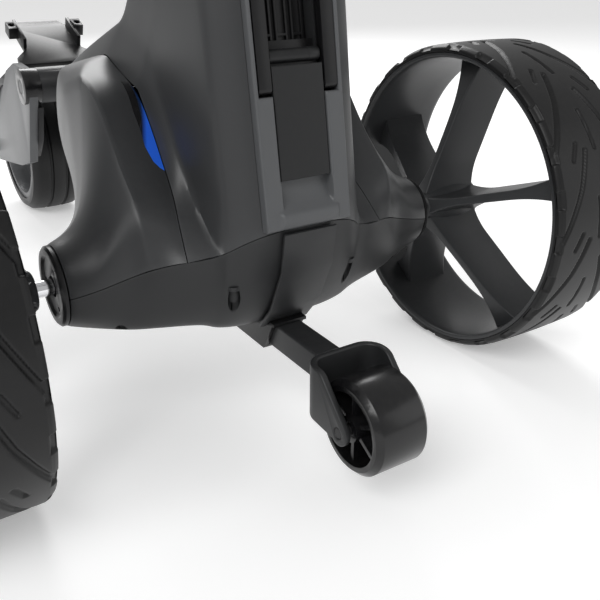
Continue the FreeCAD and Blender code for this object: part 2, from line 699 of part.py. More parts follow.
for name, side in (("right", 1), ("left", -1)):
    tyre = body(f"wheel_{name}_tyre")
    revolve(tyre, right_or_left(side, [
        (tyre_in, rim_rad), (tyre_in, axle_z - 3.6), (tyre_in + 4, axle_z - 1.6),
        (tyre_in + 22, axle_z - 0.3), (tyre_in + tyre_wide / 2, axle_z), (tyre_out - 22, axle_z - 0.3),
        (tyre_out - 4, axle_z - 1.6), (tyre_out, axle_z - 3.6), (tyre_out, rim_rad)]))
    slant = pocket(tyre, "XY_Plane", right_or_left(side, [
        (tyre_in + 14, -11.0), (tyre_in + 17, -16.0), (tyre_in + 40, 9.0), (tyre_in + 37, 14.0)]),
        5.0, axle_z)
    ring_of(tyre, slant, 36)
    slant = pocket(tyre, "XY_Plane", right_or_left(side, [
        (tyre_out - 14, -17.0), (tyre_out - 17, -22.0), (tyre_out - 40, 3.0), (tyre_out - 37, 8.0)]),
        5.0, axle_z)
    ring_of(tyre, slant, 36)
    node(f"wheel_{name}_tyre", tyre, (0, 0, axle_z))

    rim = body(f"wheel_{name}_rim")
    edge = rim_rad - gap
    revolve(rim, right_or_left(side, [
        (tyre_in, edge), (tyre_in, rim_in_rad), (tyre_in + 30, rim_in_rad - 2.0),
        (tyre_out - 24, rim_in_rad - 2.0), (tyre_out, rim_in_rad), (tyre_out, edge)]))
    revolve(rim, right_or_left(side, [
        (hub_in, axle_rad + running), (hub_in, hub_rad - 8), (hub_in + 6, hub_rad - 4),
        (hub_in + 26, hub_rad + 1), (hub_in + 36, hub_rad + 4), (hub_in + 60, hub_rad),
        (hub_in + 60, 12.05), (hub_in + 38, 12.05), (hub_in + 38, axle_rad + running)]))
    spoke = pad(rim, "XZ_Plane", right_or_left(side, [
        (hub_in + 4, hub_rad - 4), (hub_in + 20, 60), (hub_in + 40, 104), (hub_in + 54, rim_in_rad + 1),
        (tyre_out - 17, rim_in_rad + 1), (tyre_out - 34, 100), (hub_in + 70, 62),
        (hub_in + 57, hub_rad - 4)]),
        D["spoke_thick"])
    ring_of(rim, spoke, D["spokes"])
    node(f"wheel_{name}_rim", rim, (0, 0, axle_z))

    button = body(f"wheel_{name}_button")
    revolve(button, right_or_left(side, [
        (hub_in + 51, 0), (hub_in + 51, 12), (hub_in + 63, 12), (hub_in + 65, 10), (hub_in + 65, 0)]))
    node(f"wheel_{name}_button", button, (0, 0, axle_z))

# ---------------------------------------------------------------- anti-tip wheel
arm_wide, arm_top, arm_rear = D["arm_wide"], D["arm_top"], D["arm_rear"]
arm_half = arm_wide / 2
receiver_foot = arm_top - arm_wide - 3
receiver = box((-receiver_half, -58, receiver_foot), (receiver_half, 28, arm_top + D["lid"]))
slope_foot = receiver_foot - 0.5
slope = slab("x", -20, 40, [(-55, arm_top), (-41, slope_foot), (-62, slope_foot), (-62, arm_top)])
arm_room = box((-arm_half - 0.08, -80, arm_top - arm_wide - 0.08), (arm_half + 0.08, 20, arm_top + 0.08))
button_z = arm_top - arm_half
button_room = rod("x", (arm_half - 1, -34, button_z), 4.0 + running, 12)
receiver = cut(receiver, slope, arm_room, button_room)
node("arm_receiver", receiver)
stalk = rod("x", (arm_half + 2.7, -34, button_z), 4.0, 5.3)
node("arm_button", join(stalk, rod("x", (receiver_half + 3.5, -34, button_z), 6.0, 3.5)))

arm = box((-arm_half, -arm_rear, arm_top - arm_wide), (arm_half, 12, arm_top))
arm = rounded(arm, 2.2, lambda p, t: abs(t.y) > 0.9)
hollow = box((-arm_half + 2, -arm_rear - 1, arm_top - arm_wide + 2), (arm_half - 2, 13, arm_top - 2))
node("anti_tip_arm", cut(arm, hollow))

tip_y, tip_z, tip_pin, tip_half = D["tip_y"], D["tip_z"], D["tip_pin"], D["tip_half"]
ear_thick = D["ear_thick"]
ear_in = tip_half + 4.2
fork_parts = []
for low in (ear_in, -ear_in - ear_thick):
    ear = slab("x", low, ear_thick, [
        (-arm_rear - 0.1, arm_top + 8), (-arm_rear - 0.1, 60), (tip_y + 6, tip_z - 9),
        (tip_y - 2, tip_z - 9.3), (tip_y - 9.3, tip_z + 2), (-arm_rear - 18, arm_top + 8)])
    fork_parts += [ear, rod("x", (low, tip_y, tip_z), 9.5, ear_thick)]
web = box((-ear_in - ear_thick, -arm_rear - 5, 60), (ear_in + ear_thick, -arm_rear - 0.1, arm_top + 8))
fork_parts.append(web)
fork = cut(join(*fork_parts), rod("x", (-60, tip_y, tip_z), tip_pin + running, 120))
outer_x = (ear_in + ear_thick).value - 2
fork = rounded(fork, 8.0, lambda p, t: abs(t.y) > 0.9 and p.z > arm_top.value + 7 and abs(p.x) > outer_x)
node("anti_tip_fork", fork)
pin_reach = ear_in + ear_thick - 0.6
tip_axle = rod("x", (-pin_reach, tip_y, tip_z), tip_pin, 2 * pin_reach)
node("anti_tip_pin", rounded(tip_axle, 0.5, lambda p, t: abs(t.x) < 0.5))

tip = body("anti_tip_wheel")
revolve(tip, [(-tip_half, 27), (-tip_half, D["tip_rad"] - 4), (-tip_half + 4, D["tip_rad"]),
              (tip_half - 4, D["tip_rad"]), (tip_half, D["tip_rad"] - 4), (tip_half, 27), (3, 27), (3, 9.5),
              (tip_half, 9.5), (tip_half, tip_pin + running), (-tip_half, tip_pin + running),
              (-tip_half, 9.5),
              (-3, 9.5), (-3, 27)])
vane_half = tip_half - 4
blade = pad(tip, "XZ_Plane", [(-vane_half, 9), (-vane_half, 28), (vane_half, 28), (vane_half, 9)], 3.2)
ring_of(tip, blade, 6)
node("anti_tip_wheel", tip, (0, tip_y, tip_z))

# ---------------------------------------------------------------- front frame and fork
fold_y, fold_z, fold_rad, fold_half = D["fold_y"], D["fold_z"], D["fold_rad"], D["fold_half"]
front_y, front_rad, front_half, front_pin = D["front_y"], D["front_rad"], D["front_half"], D["front_pin"]
leg_in, leg_thick = D["leg_in"], D["leg_thick"]

beam = box((-20, 180, fold_z - 17), (20, fold_y - 6, fold_z + 17))
frame = join(rounded(beam, 5.0, lambda p, t: abs(t.y) > 0.9),
             rod("x", (-fold_half, fold_y, fold_z), fold_rad, 2 * fold_half))
barrel_end = leg_in + leg_thick + 4
fold_pin = rod("x", (-barrel_end, fold_y, fold_z), 8, 2 * barrel_end)
node("front_frame", join(frame, rounded(fold_pin, 0.8, lambda p, t: abs(t.x) < 0.5)))

for name, side in (("right", 1), ("left", -1)):
    low = leg_in if side > 0 else -leg_in - leg_thick
    leg = slab("x", low, leg_thick, [
        (fold_y + 2, fold_z + 20), (fold_y - 18, fold_z - 10), (fold_y + 28, fold_z - 97),
        (fold_y + 75, fold_z - 111), (front_y - 6, front_rad - 20), (front_y + 12, front_rad - 14),
        (front_y + 16, front_rad + 4), (front_y - 6, front_rad + 22), (fold_y + 84, fold_z + 8),
        (fold_y + 40, fold_z + 22)])
    low = fold_half + gap if side > 0 else -barrel_end
    barrel = rod("x", (low, fold_y, fold_z), fold_rad, barrel_end - fold_half - gap)
    leg = cut(join(leg, barrel), rod("x", (-90, fold_y, fold_z), 8 + running, 180),
              rod("x", (-90, front_y, front_rad), front_pin + running, 180))
    node(f"fork_leg_{name}", leg)
    low = leg_in - 6 if side > 0 else -leg_in
    web = slab("x", low, 6, [
        (fold_y + 30, fold_z + 14), (fold_y + 22, fold_z - 12), (fold_y + 10, fold_z - 22),
        (fold_y - 12, fold_z - 24), (fold_y + 8, fold_z - 66), (fold_y + 34, fold_z - 92),
        (front_y - 18, front_rad - 12), (front_y - 12, front_rad + 12), (fold_y + 84, fold_z + 2),
        (fold_y + 44, fold_z + 14)])
    low = leg_in - 7 if side > 0 else -leg_in + 4
    slots = []
    for step in range(40, 180, 20):
        near, drop = fold_y + step, fold_z - 0.52 * step
        slots.append(slab("x", low, 3, [(near, drop + 10), (near, drop + 0.5), (near + 14, drop - 6.7),
                                        (near + 14, drop + 2.8)]))
    node(f"fork_web_{name}", cut(web, *slots))

node("front_axle", join(rod("x", (-barrel_end, front_y, front_rad), front_pin, 2 * barrel_end),
                        rod("x", (-barrel_end, front_y, front_rad), 8.5, 3.7)))

plate_turn = FreeCAD.Rotation(V(1, 0, 0), 24)
plate_spot = (0, fold_y + 50, fold_z + 8)
bridge = box((-leg_in + 6, 0, -4), (leg_in - 6, 22, 8))
shelf = slab("z", 8, 5, [(-49.6, -2), (49.6, -2), (49.6, 14), (36, 30), (36, 84), (26, 98), (-26, 98),
                         (-36, 84), (-36, 30), (-49.6, 14)])
rim_wall = []
for low in (-36, 32):
    rim_wall.append(box((low, 34, 12), (low + 4, 82, 26)))
hooks = []
for low in (-47, 35):
    hooks.append(box((low, 56, 14), (low + 12, 74, 28)))
bores = [rod("z", (x, 65, 13), 4.0, 20) for x in (-41.5, 41.5)]
bag_plate = cut(join(bridge, shelf, *rim_wall, *hooks), *bores)
node("bag_plate", bag_plate, plate_spot, plate_turn)

rim = body("front_rim")
inner = front_rad - 18
revolve(rim, [(-front_half + 2, inner - gap), (-front_half + 2, inner - 8), (-12, inner - 12),
              (-10, 26), (-30, 20),
              (-30, front_pin + running), (30, front_pin + running), (30, 20), (10, 26), (12, inner - 12),
              (front_half - 2, inner - 8), (front_half - 2, inner - gap)])
window = pocket(rim, "YZ_Plane", [(-9, 32), (9, 32), (17, 62), (-17, 62)], 60)
ring_of(rim, window, 6)
node("front_rim", rim, (0, front_y, front_rad))
tyre = body("front_tyre")
revolve(tyre, [(-front_half, inner), (-front_half, front_rad - 8), (-front_half + 8, front_rad - 1.6),
               (-13, front_rad), (-12, front_rad - 3), (-9, front_rad - 3), (-8, front_rad),
               (8, front_rad), (9, front_rad - 3), (12, front_rad - 3), (13, front_rad),
               (front_half - 8, front_rad - 1.6), (front_half, front_rad - 8), (front_half, inner)])
node("front_tyre", tyre, (0, front_y, front_rad))
dial = body("tracking_dial")
revolve(dial, [(barrel_end + 0.3, 0), (barrel_end + 0.3, 13), (barrel_end + 7, 13), (barrel_end + 8.5, 11),
               (barrel_end + 8.5, 0)])
notch = pocket(dial, "YZ_Plane", [(-1.2, 12), (1.2, 12), (1.2, 16), (-1.2, 16)], 30, barrel_end)
ring_of(dial, notch, 12)
node("tracking_dial", dial, (0, front_y, front_rad))

# The release lever lies on the top cover and lifts at its rear end.
lever = join(box((-9, -84, 1.5), (9, -6, 8.5)), rod("x", (-9, 0, 5.0), 4.5, 18),
             box((-9, -12, 1.5), (9, 0, 8.5)))
lever = cut(lever, rod("x", (-12, 0, 5.0), 2.5 + running, 24))
node("latch_lever", lever, lever_spot, lever_turn)

# ---------------------------------------------------------------- mast and bag cradle
mast_y, mast_z, mast_long = D["mast_y"], D["mast_z"], D["mast_long"]
mast_wide, mast_deep, mast_wall = D["mast_wide"], D["mast_deep"], D["mast_wall"]
cheeks = [box((-31, mast_y - 24, mast_z - 26), (31, mast_y + 28, mast_z - 20))]
for low in (20, -28):
    cheeks.append(box((low, mast_y - 16, mast_z - 22), (low + 8, mast_y + 16, mast_z)))
    cheeks.append(rod("x", (low, mast_y, mast_z), 16, 8))
cheeks.append(rod("x", (-32, mast_y, mast_z), 6, 64))
node("mast_bracket", join(*cheeks))

knuckle = join(rod("x", (-19.6, 0, 0), 15, 39.2), box((-19.6, -11.5, 0), (19.6, 11.5, 34)),
               box((-mast_wide / 2 + 1, -mast_deep / 2 + 1, 32), (mast_wide / 2 - 1, mast_deep / 2 - 1, 60)))
knuckle = cut(knuckle, rod("x", (-40, 0, 0), 6 + running, 80))
tube = rounded(box((-mast_wide / 2, -mast_deep / 2, 34), (mast_wide / 2, mast_deep / 2, mast_long)), 7.0,
               lambda p, t: abs(t.z) > 0.9)
bore = rounded(box((-mast_wide / 2 + mast_wall, -mast_deep / 2 + mast_wall, 33),
                   (mast_wide / 2 - mast_wall, mast_deep / 2 - mast_wall, mast_long + 1)), 4.5,
               lambda p, t: abs(t.z) > 0.9)
node("mast_tube", join(cut(tube, bore), knuckle), *MAST)

clamp = cut(box((-mast_wide / 2 - 6, -mast_deep / 2 - 6, 300), (mast_wide / 2 + 6, mast_deep / 2 + 14, 345)),
            box((-mast_wide / 2 - gap, -mast_deep / 2 - gap, 299),
                (mast_wide / 2 + gap, mast_deep / 2 + gap, 346)))
wings = slab("z", 306, 33, [
    (0, 28), (26, 28), (70, 44), (104, 78), (118, 112), (110, 116), (94, 88), (64, 56), (24, 40), (-24, 40),
    (-64, 56), (-94, 88), (-110, 116), (-118, 112), (-104, 78), (-70, 44), (-26, 28)])
node("bag_cradle", join(clamp, wings), *MAST)
pads = []
for side in (-1, 1):
    pads.append(slab("z", 308, 29, [(side * 30, 42.6), (side * 63.5, 56.6), (side * 93, 88.4),
                                    (side * 90, 91.0), (side * 61.5, 60.6), (side * 29, 46.4)]))
pad_pair = doc.addObject("Part::Compound", "Pads")
pad_pair.Links = pads
node("cradle_pads", pad_pair, *MAST)
strap = slab("z", 312, 21, [(-111.36, 115.71), (-60, 151), (0, 163), (60, 151), (111.36, 115.71),
                            (114.16, 114.31), (61.5, 154.2), (0, 166.2), (-61.5, 154.2), (-114.16, 114.31)])
node("cradle_strap", strap, *MAST)

# ---------------------------------------------------------------- handle
stem_at, stem_long = mast_long + D["stem_rise"], D["stem_long"]
lean = math.radians(D["mast_lean"].value)
stem_y = mast_y - stem_at * math.sin(lean)
stem_z = mast_z + stem_at * math.cos(lean)
plug = box((-mast_wide / 2 + mast_wall + gap, -mast_deep / 2 + mast_wall + gap, mast_long - 40),
           (mast_wide / 2 - mast_wall - gap, mast_deep / 2 - mast_wall - gap, mast_long + 0.5))
top = join(rounded(plug, 4.6, lambda p, t: abs(t.z) > 0.9),
           box((-24, -16, mast_long + 0.3), (24, 16, mast_long + 5)),
           *[box((low, -12, mast_long + 0.3), (low + 7, 12, stem_at)) for low in (-24, 17)],
           *[rod("x", (low, 0, stem_at), 12, 7) for low in (-24, 17)], rod("x", (-24, 0, stem_at), 5, 48))
node("mast_top", top, *MAST)

STEM = ((0, stem_y, stem_z), FreeCAD.Rotation(V(1, 0, 0), 60))
stem = join(rod("x", (-16.6, 0, 0), 11, 33.2), box((-14, -9, 0), (14, 9, stem_long - 10)))
stem = cut(stem, rod("x", (-30, 0, 0), 5 + running, 60))
node("handle_stem", stem, *STEM)

tilt = math.radians(60)
HEAD = ((0, stem_y - stem_long * math.sin(tilt), stem_z + stem_long * math.cos(tilt)),
        FreeCAD.Rotation(V(1, 0, 0), 100))
grip_half, grip_rad = D["grip_half"], D["grip_rad"]
shell = join(rounded(box((-43, -15, -16), (43, 15, 60)), 8.0, lambda p, t: abs(t.y) > 0.9),
             rod("x", (-grip_half, 0, 72), grip_rad - 3, 2 * grip_half), box((-40, -9, 55), (40, 9, 76)))
screen_room = box((-33, 12.5, -6), (33, 16, 32))
dial_room = rod("y", (0, 13, 46), 3.0 + running, 3)
socket_bore = rod("z", (30, 0, -18), 4.0, 32)
stem_room = box((-14 - gap, -9 - gap, 0), (14 + gap, 9 + gap, stem_long - 10 + gap))
bend = math.radians(40)
place(stem_room, (-14 - gap, -(9 + gap) * math.cos(bend) - stem_long * math.sin(bend),
                  (9 + gap) * math.sin(bend) - stem_long * math.cos(bend)), FreeCAD.Rotation(V(1, 0, 0), -40))
key_room = rod("y", (26, 11, 46), 4.5 + running, 6)
head = cut(shell, screen_room, dial_room, socket_bore, key_room, stem_room)
node("handle_head", head, *HEAD)
screen = box((-32.7, 12.6, -5.7), (32.7, 15.3, 31.7))
node("display", rounded(screen, 0.8, lambda p, t: p.y > 15.2), *HEAD)
node("speed_dial", join(rod("y", (0, 15.4, 46), 12, 7), rod("y", (0, 13.2, 46), 3.0, 3)), *HEAD)
key = rod("y", (26, 13.5, 46), 4.5, 3.0)
node("power_button", rounded(key, 0.6, lambda p, t: p.y > 16.4), *HEAD)
grip_parts = []
for low in (48, -grip_half):
    grip = rod("x", (low, 0, 72), grip_rad + 2, grip_half - 48)
    grip_parts.append(cut(grip, rod("x", (low - 1, 0, 72), grip_rad - 3 + gap, grip_half - 46)))
grips = doc.addObject("Part::Compound", "Grips")
grips.Links = grip_parts
node("hand_grips", grips, *HEAD)

# ---------------------------------------------------------------- check and write
doc.recompute()
wrong = []
for thing in doc.Objects:
    if "Invalid" in thing.State or "Error" in thing.State:
        wrong.append(f"{thing.Name} {thing.Label} {thing.State}")
for thing in NODES:
    if thing.Shape.isNull() or not thing.Shape.isValid() or not thing.Shape.Solids:
        wrong.append(f"{thing.Label} has no sound solid")
for line in wrong:
    print("WRONG", line)
if wrong:
    raise SystemExit(1)
for thing in NODES:
    thing.Shape.exportStep(f"parts/{thing.Label}.step")
    print(thing.Label, len(thing.Shape.Solids), round(thing.Shape.Volume / 1000, 1))
print(len(NODES), "pieces")
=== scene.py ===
# %% [markdown]
# # Electric golf trolley
# The trolley is a moulded housing on two wide wheels, with a folding front fork, a small
# anti-tip wheel behind and a mast that carries the bag cradle and the handle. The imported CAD
# model is loaded first, because every size and every moving body comes from it. The cells below
# then give each part the soft edges, seams and finishes of the real moulding.

import json
import math

import bmesh
import bpy
import numpy as np
from mathutils import Matrix, Vector
from mathutils.bvhtree import BVHTree


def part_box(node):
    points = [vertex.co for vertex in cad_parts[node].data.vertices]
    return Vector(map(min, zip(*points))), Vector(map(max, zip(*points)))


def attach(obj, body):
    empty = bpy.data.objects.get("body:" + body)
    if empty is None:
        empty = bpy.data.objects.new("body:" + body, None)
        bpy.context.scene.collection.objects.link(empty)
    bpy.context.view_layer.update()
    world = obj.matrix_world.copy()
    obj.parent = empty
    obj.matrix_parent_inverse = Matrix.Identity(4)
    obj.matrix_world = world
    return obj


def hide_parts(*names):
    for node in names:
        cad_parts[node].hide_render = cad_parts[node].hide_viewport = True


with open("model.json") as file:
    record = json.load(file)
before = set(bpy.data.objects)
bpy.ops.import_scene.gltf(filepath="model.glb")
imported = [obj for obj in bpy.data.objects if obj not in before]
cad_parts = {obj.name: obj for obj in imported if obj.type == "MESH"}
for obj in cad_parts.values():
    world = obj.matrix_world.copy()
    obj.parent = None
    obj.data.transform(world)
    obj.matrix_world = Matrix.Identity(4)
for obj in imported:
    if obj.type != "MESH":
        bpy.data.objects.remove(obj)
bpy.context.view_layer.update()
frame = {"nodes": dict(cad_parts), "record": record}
scene = bpy.context.scene

# %% [markdown]
# ## Where things are
# The parts were drawn in millimetres from the rear axle, so it is easiest to keep those numbers
# and turn them into metres at one place. The axle's own box tells where that drawing origin now
# lies. The battery face leans, so it gets a small matrix of its own, and pieces on it are drawn
# upright and then tilted.

# %% Places
axle_low, axle_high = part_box("axle_shaft")
AXLE = (axle_low + axle_high) / 2


def at(x, y, z):
    """Metres in the shared frame from millimetres: y is counted from the rear axle."""
    return Vector((x / 1000, AXLE.y + y / 1000, z / 1000))


def leaning(y, z, degrees):
    return Matrix.Translation(at(0, y, z)) @ Matrix.Rotation(math.radians(degrees), 4, "X")


BAY = leaning(-87.2, 183.5, -9)
print("axle at", [round(v, 4) for v in AXLE])

# %% [markdown]
# ## Surface effects shared by the finishes
# Moulded plastic, paint and rubber all show three things close up: a fine grain from the mould,
# edges rubbed lighter by handling, and a little dust on what faces up. Each could be rebuilt in
# every material, but a node group is made once and then placed with its own values, so one
# change reaches every finish.

# %% Group helper


def new_group(name, inputs, outputs):
    group = bpy.data.node_groups.new(name, "ShaderNodeTree")
    for title, kind, value in inputs:
        socket = group.interface.new_socket(title, in_out="INPUT", socket_type=kind)
        socket.default_value = value
    for title, kind in outputs:
        group.interface.new_socket(title, in_out="OUTPUT", socket_type=kind)
    return group, group.nodes.new("NodeGroupInput"), group.nodes.new("NodeGroupOutput")


def add(tree, kind, **settings):
    node = tree.nodes.new(kind)
    for key, value in settings.items():
        setattr(node, key, value)
    return node


def math_node(tree, operation, first, second):
    node = add(tree, "ShaderNodeMath", operation=operation)
    for socket, value in zip(node.inputs, (first, second)):
        if isinstance(value, (int, float)):
            socket.default_value = value
        else:
            tree.links.new(value, socket)
    return node.outputs[0]


def map_range(tree, value, low, high, to_low, to_high):
    node = add(tree, "ShaderNodeMapRange", clamp=True)
    tree.links.new(value, node.inputs["Value"])
    for title, number in (("From Min", low), ("From Max", high), ("To Min", to_low), ("To Max", to_high)):
        if isinstance(number, (int, float)):
            node.inputs[title].default_value = number
        else:
            tree.links.new(number, node.inputs[title])
    return node.outputs["Result"]


def noise(tree, scale, detail=3.0, stretch=None):
    place = add(tree, "ShaderNodeTexCoord")
    vector = place.outputs["Object"]
    if stretch:
        mapping = add(tree, "ShaderNodeMapping")
        mapping.inputs["Scale"].default_value = stretch
        tree.links.new(vector, mapping.inputs["Vector"])
        vector = mapping.outputs["Vector"]
    node = add(tree, "ShaderNodeTexNoise")
    node.inputs["Detail"].default_value = detail
    tree.links.new(vector, node.inputs["Vector"])
    if isinstance(scale, (int, float)):
        node.inputs["Scale"].default_value = scale
    else:
        tree.links.new(scale, node.inputs["Scale"])
    return node.outputs["Fac"]


def mix_color(tree, factor, first, second):
    node = add(tree, "ShaderNodeMix", data_type="RGBA")
    for socket, value in ((node.inputs[0], factor), (node.inputs[6], first), (node.inputs[7], second)):
        if isinstance(value, (int, float, tuple)):
            socket.default_value = value
        else:
            tree.links.new(value, socket)
    return node.outputs[2]


print("group helpers", [tool.__name__ for tool in (new_group, add, math_node)])

# %% Moulding grain
GRAIN, g_in, g_out = new_group(
    "Moulding grain",
    [("Scale", "NodeSocketFloat", 1600.0), ("Roughness", "NodeSocketFloat", 0.45),
     ("Spread", "NodeSocketFloat", 0.1)],
    [("Height", "NodeSocketFloat"), ("Roughness", "NodeSocketFloat")])
fine = noise(GRAIN, g_in.outputs["Scale"], 2.0)
broad = noise(GRAIN, 14.0, 3.0)
offset = math_node(GRAIN, "MULTIPLY", math_node(GRAIN, "SUBTRACT", broad, 0.5), g_in.outputs["Spread"])
GRAIN.links.new(fine, g_out.inputs["Height"])
GRAIN.links.new(math_node(GRAIN, "ADD", g_in.outputs["Roughness"], offset), g_out.inputs["Roughness"])
print("grain nodes", len(GRAIN.nodes))

# %% Edge wear
WEAR, w_in, w_out = new_group(
    "Edge wear",
    [("Color", "NodeSocketColor", (0.1, 0.1, 0.1, 1)), ("Worn Color", "NodeSocketColor", (0.3, 0.3, 0.3, 1)),
     ("Amount", "NodeSocketFloat", 0.3)],
    [("Color", "NodeSocketColor")])
shape = add(WEAR, "ShaderNodeNewGeometry")
edges = map_range(WEAR, shape.outputs["Pointiness"], 0.515, 0.58, 0.0, 1.0)
patches = map_range(WEAR, noise(WEAR, 60.0, 4.0), 0.35, 0.7, 0.3, 1.0)
worn = math_node(WEAR, "MULTIPLY", math_node(WEAR, "MULTIPLY", edges, patches), w_in.outputs["Amount"])
rubbed = mix_color(WEAR, worn, w_in.outputs["Color"], w_in.outputs["Worn Color"])
WEAR.links.new(rubbed, w_out.inputs["Color"])
print("wear nodes", len(WEAR.nodes))

# %% Dust
DUST, d_in, d_out = new_group(
    "Dust",
    [("Color", "NodeSocketColor", (0.1, 0.1, 0.1, 1)),
     ("Dust Color", "NodeSocketColor", (0.45, 0.42, 0.38, 1)),
     ("Amount", "NodeSocketFloat", 0.05)],
    [("Color", "NodeSocketColor")])
shape = add(DUST, "ShaderNodeNewGeometry")
split = add(DUST, "ShaderNodeSeparateXYZ")
DUST.links.new(shape.outputs["Normal"], split.inputs[0])
facing = map_range(DUST, split.outputs["Z"], 0.1, 1.0, 0.15, 1.0)
specks = map_range(DUST, noise(DUST, 220.0, 5.0), 0.42, 0.75, 0.0, 1.0)
fallen = math_node(DUST, "MULTIPLY", math_node(DUST, "MULTIPLY", facing, specks), d_in.outputs["Amount"])
dusty = mix_color(DUST, fallen, d_in.outputs["Color"], d_in.outputs["Dust Color"])
DUST.links.new(dusty, d_out.inputs["Color"])
print("groups", [group.name for group in (GRAIN, WEAR, DUST)])

# %% [markdown]
# ## Finishes
# Every finish is one Principled shader fed by the three groups. What differs is the colour, how
# rough it is, how coarse the grain is and how much wear shows, so a single helper with those
# values is enough. Constants such as coat and metal are set on the shader itself.

# %% Finish helper
FINISH = {}


def make_finish(name, color, roughness, grain=1600.0, depth=0.12, spread=0.1, wear=0.3, worn=None,
                dust=0.012, metal=0.0, coat=0.0, mottle=0.08, shine=0.4, base=None):
    material = bpy.data.materials.new(name)
    material.use_nodes = True
    tree = material.node_tree
    shader = tree.nodes["Principled BSDF"]
    worn = worn or tuple(min(1.0, value * 2.0 + 0.015) for value in color)
    if base is None:
        darker = tuple(value * (1 - mottle) for value in color) + (1,)
        lighter = tuple(value * (1 + mottle) for value in color) + (1,)
        base = mix_color(tree, noise(tree, 9.0, 4.0), darker, lighter)
    elif callable(base):
        base = base(tree)
    groups = {}
    for group in (GRAIN, WEAR, DUST):
        node = add(tree, "ShaderNodeGroup", node_tree=group)
        groups[group.name] = node
    grain_node, wear_node, dust_node = groups["Moulding grain"], groups["Edge wear"], groups["Dust"]
    grain_node.inputs["Scale"].default_value = grain
    grain_node.inputs["Roughness"].default_value = roughness
    grain_node.inputs["Spread"].default_value = spread
    wear_node.inputs["Worn Color"].default_value = worn + (1,)
    wear_node.inputs["Amount"].default_value = wear
    dust_node.inputs["Amount"].default_value = dust
    tree.links.new(base, wear_node.inputs["Color"])
    tree.links.new(wear_node.outputs["Color"], dust_node.inputs["Color"])
    tree.links.new(dust_node.outputs["Color"], shader.inputs["Base Color"])
    tree.links.new(grain_node.outputs["Roughness"], shader.inputs["Roughness"])
    bump = add(tree, "ShaderNodeBump")
    bump.inputs["Strength"].default_value = depth
    bump.inputs["Distance"].default_value = 0.0006
    tree.links.new(grain_node.outputs["Height"], bump.inputs["Height"])
    tree.links.new(bump.outputs["Normal"], shader.inputs["Normal"])
    shader.inputs["Metallic"].default_value = metal
    shader.inputs["Specular IOR Level"].default_value = shine
    shader.inputs["Coat Weight"].default_value = coat
    shader.inputs["Coat Roughness"].default_value = 0.08
    FINISH[name] = material
    return material


print("finish helper", make_finish.__name__)

# %% [markdown]
# The side inlay is not one flat blue: its outer top corner starts black and turns blue within a
# centimetre. A map from place to colour does that in the object's own coordinates, so it stays
# on the plastic when the trolley moves.


# %% Finishes
BLUE = (0.018, 0.13, 0.78)


def inlay_fade(tree):
    place = add(tree, "ShaderNodeTexCoord")
    split = add(tree, "ShaderNodeSeparateXYZ")
    tree.links.new(place.outputs["Object"], split.inputs[0])
    aside = math_node(tree, "ABSOLUTE", split.outputs["X"], 0.0)
    outward = math_node(tree, "DIVIDE", math_node(tree, "SUBTRACT", aside, 0.0725), 0.006)
    upward = math_node(tree, "DIVIDE", math_node(tree, "SUBTRACT", split.outputs["Z"], 0.237), 0.012)
    fade = map_range(tree, math_node(tree, "ADD", outward, upward), 0.6, 1.4, 0.0, 1.0)
    return mix_color(tree, fade, BLUE + (1,), (0.004, 0.005, 0.009, 1))


def brushed(tree):
    streaks = noise(tree, 90.0, 3.0, (1.0, 30.0, 30.0))
    return mix_color(tree, streaks, (0.42, 0.42, 0.43, 1), (0.62, 0.62, 0.63, 1))


make_finish("shell_plastic", (0.030, 0.031, 0.0325), 0.38, wear=0.2)
make_finish("panel_plastic", (0.012, 0.0124, 0.013), 0.42, wear=0.2, shine=0.3)
make_finish("tray_plastic", (0.018, 0.0186, 0.0195), 0.42, wear=0.2, shine=0.35)
make_finish("trim_plastic", (0.075, 0.0775, 0.081), 0.38, wear=0.15)
make_finish("rim_plastic", (0.028, 0.029, 0.0305), 0.36, wear=0.15, shine=0.3)
make_finish("black_plastic", (0.0045, 0.0045, 0.005), 0.34, wear=0.2, shine=0.3)
make_finish("gloss_black", (0.004, 0.004, 0.0045), 0.26, depth=0.03, wear=0.1, coat=0.1)
make_finish("accent_blue", BLUE, 0.34, depth=0.05, wear=0.1, base=inlay_fade)
make_finish("button_blue", BLUE, 0.34, depth=0.05, wear=0.1)
make_finish("tread_rubber", (0.006, 0.006, 0.0063), 0.42, grain=900, depth=0.05, wear=0.15, dust=0.01,
            shine=0.3)
make_finish("pad_rubber", (0.006, 0.006, 0.0064), 0.7, grain=700, depth=0.35, wear=0.2, dust=0.02)
make_finish("frame_paint", (0.018, 0.0185, 0.0195), 0.34, grain=2400, depth=0.1, wear=0.2, shine=0.35)
make_finish("pin_dark", (0.03, 0.03, 0.031), 0.4, depth=0.05, wear=0.1, metal=0.6)
make_finish("chrome_steel", (0.78, 0.78, 0.80), 0.08, depth=0.01, spread=0.05, wear=0.0, metal=1.0,
            mottle=0.02)
make_finish("bearing_steel", (0.40, 0.40, 0.41), 0.30, depth=0.05, wear=0.1, metal=1.0, base=brushed)
make_finish("motor_steel", (0.35, 0.35, 0.36), 0.35, depth=0.05, wear=0.1, metal=1.0, base=brushed)
make_finish("screw_steel", (0.1, 0.1, 0.1), 0.35, depth=0.05, wear=0.5, metal=0.9)
make_finish("cast_aluminium", (0.5, 0.5, 0.51), 0.5, grain=500, depth=0.3, wear=0.2, metal=0.9)
make_finish("gear_plastic", (0.75, 0.74, 0.70), 0.45, wear=0.1)
make_finish("display_glass", (0.010, 0.011, 0.013), 0.06, depth=0.0, wear=0.0, coat=0.8)
print("finishes", len(FINISH))

# %% [markdown]
# ## Making and settling meshes
# Pieces below are drawn as lists of points and faces, or turned, lofted and cut with modifiers.
# Modifiers could stay live, but settled meshes render and export faster and can be checked, so
# one helper bakes them and marks edges sharper than a given angle.

# %% Mesh helpers


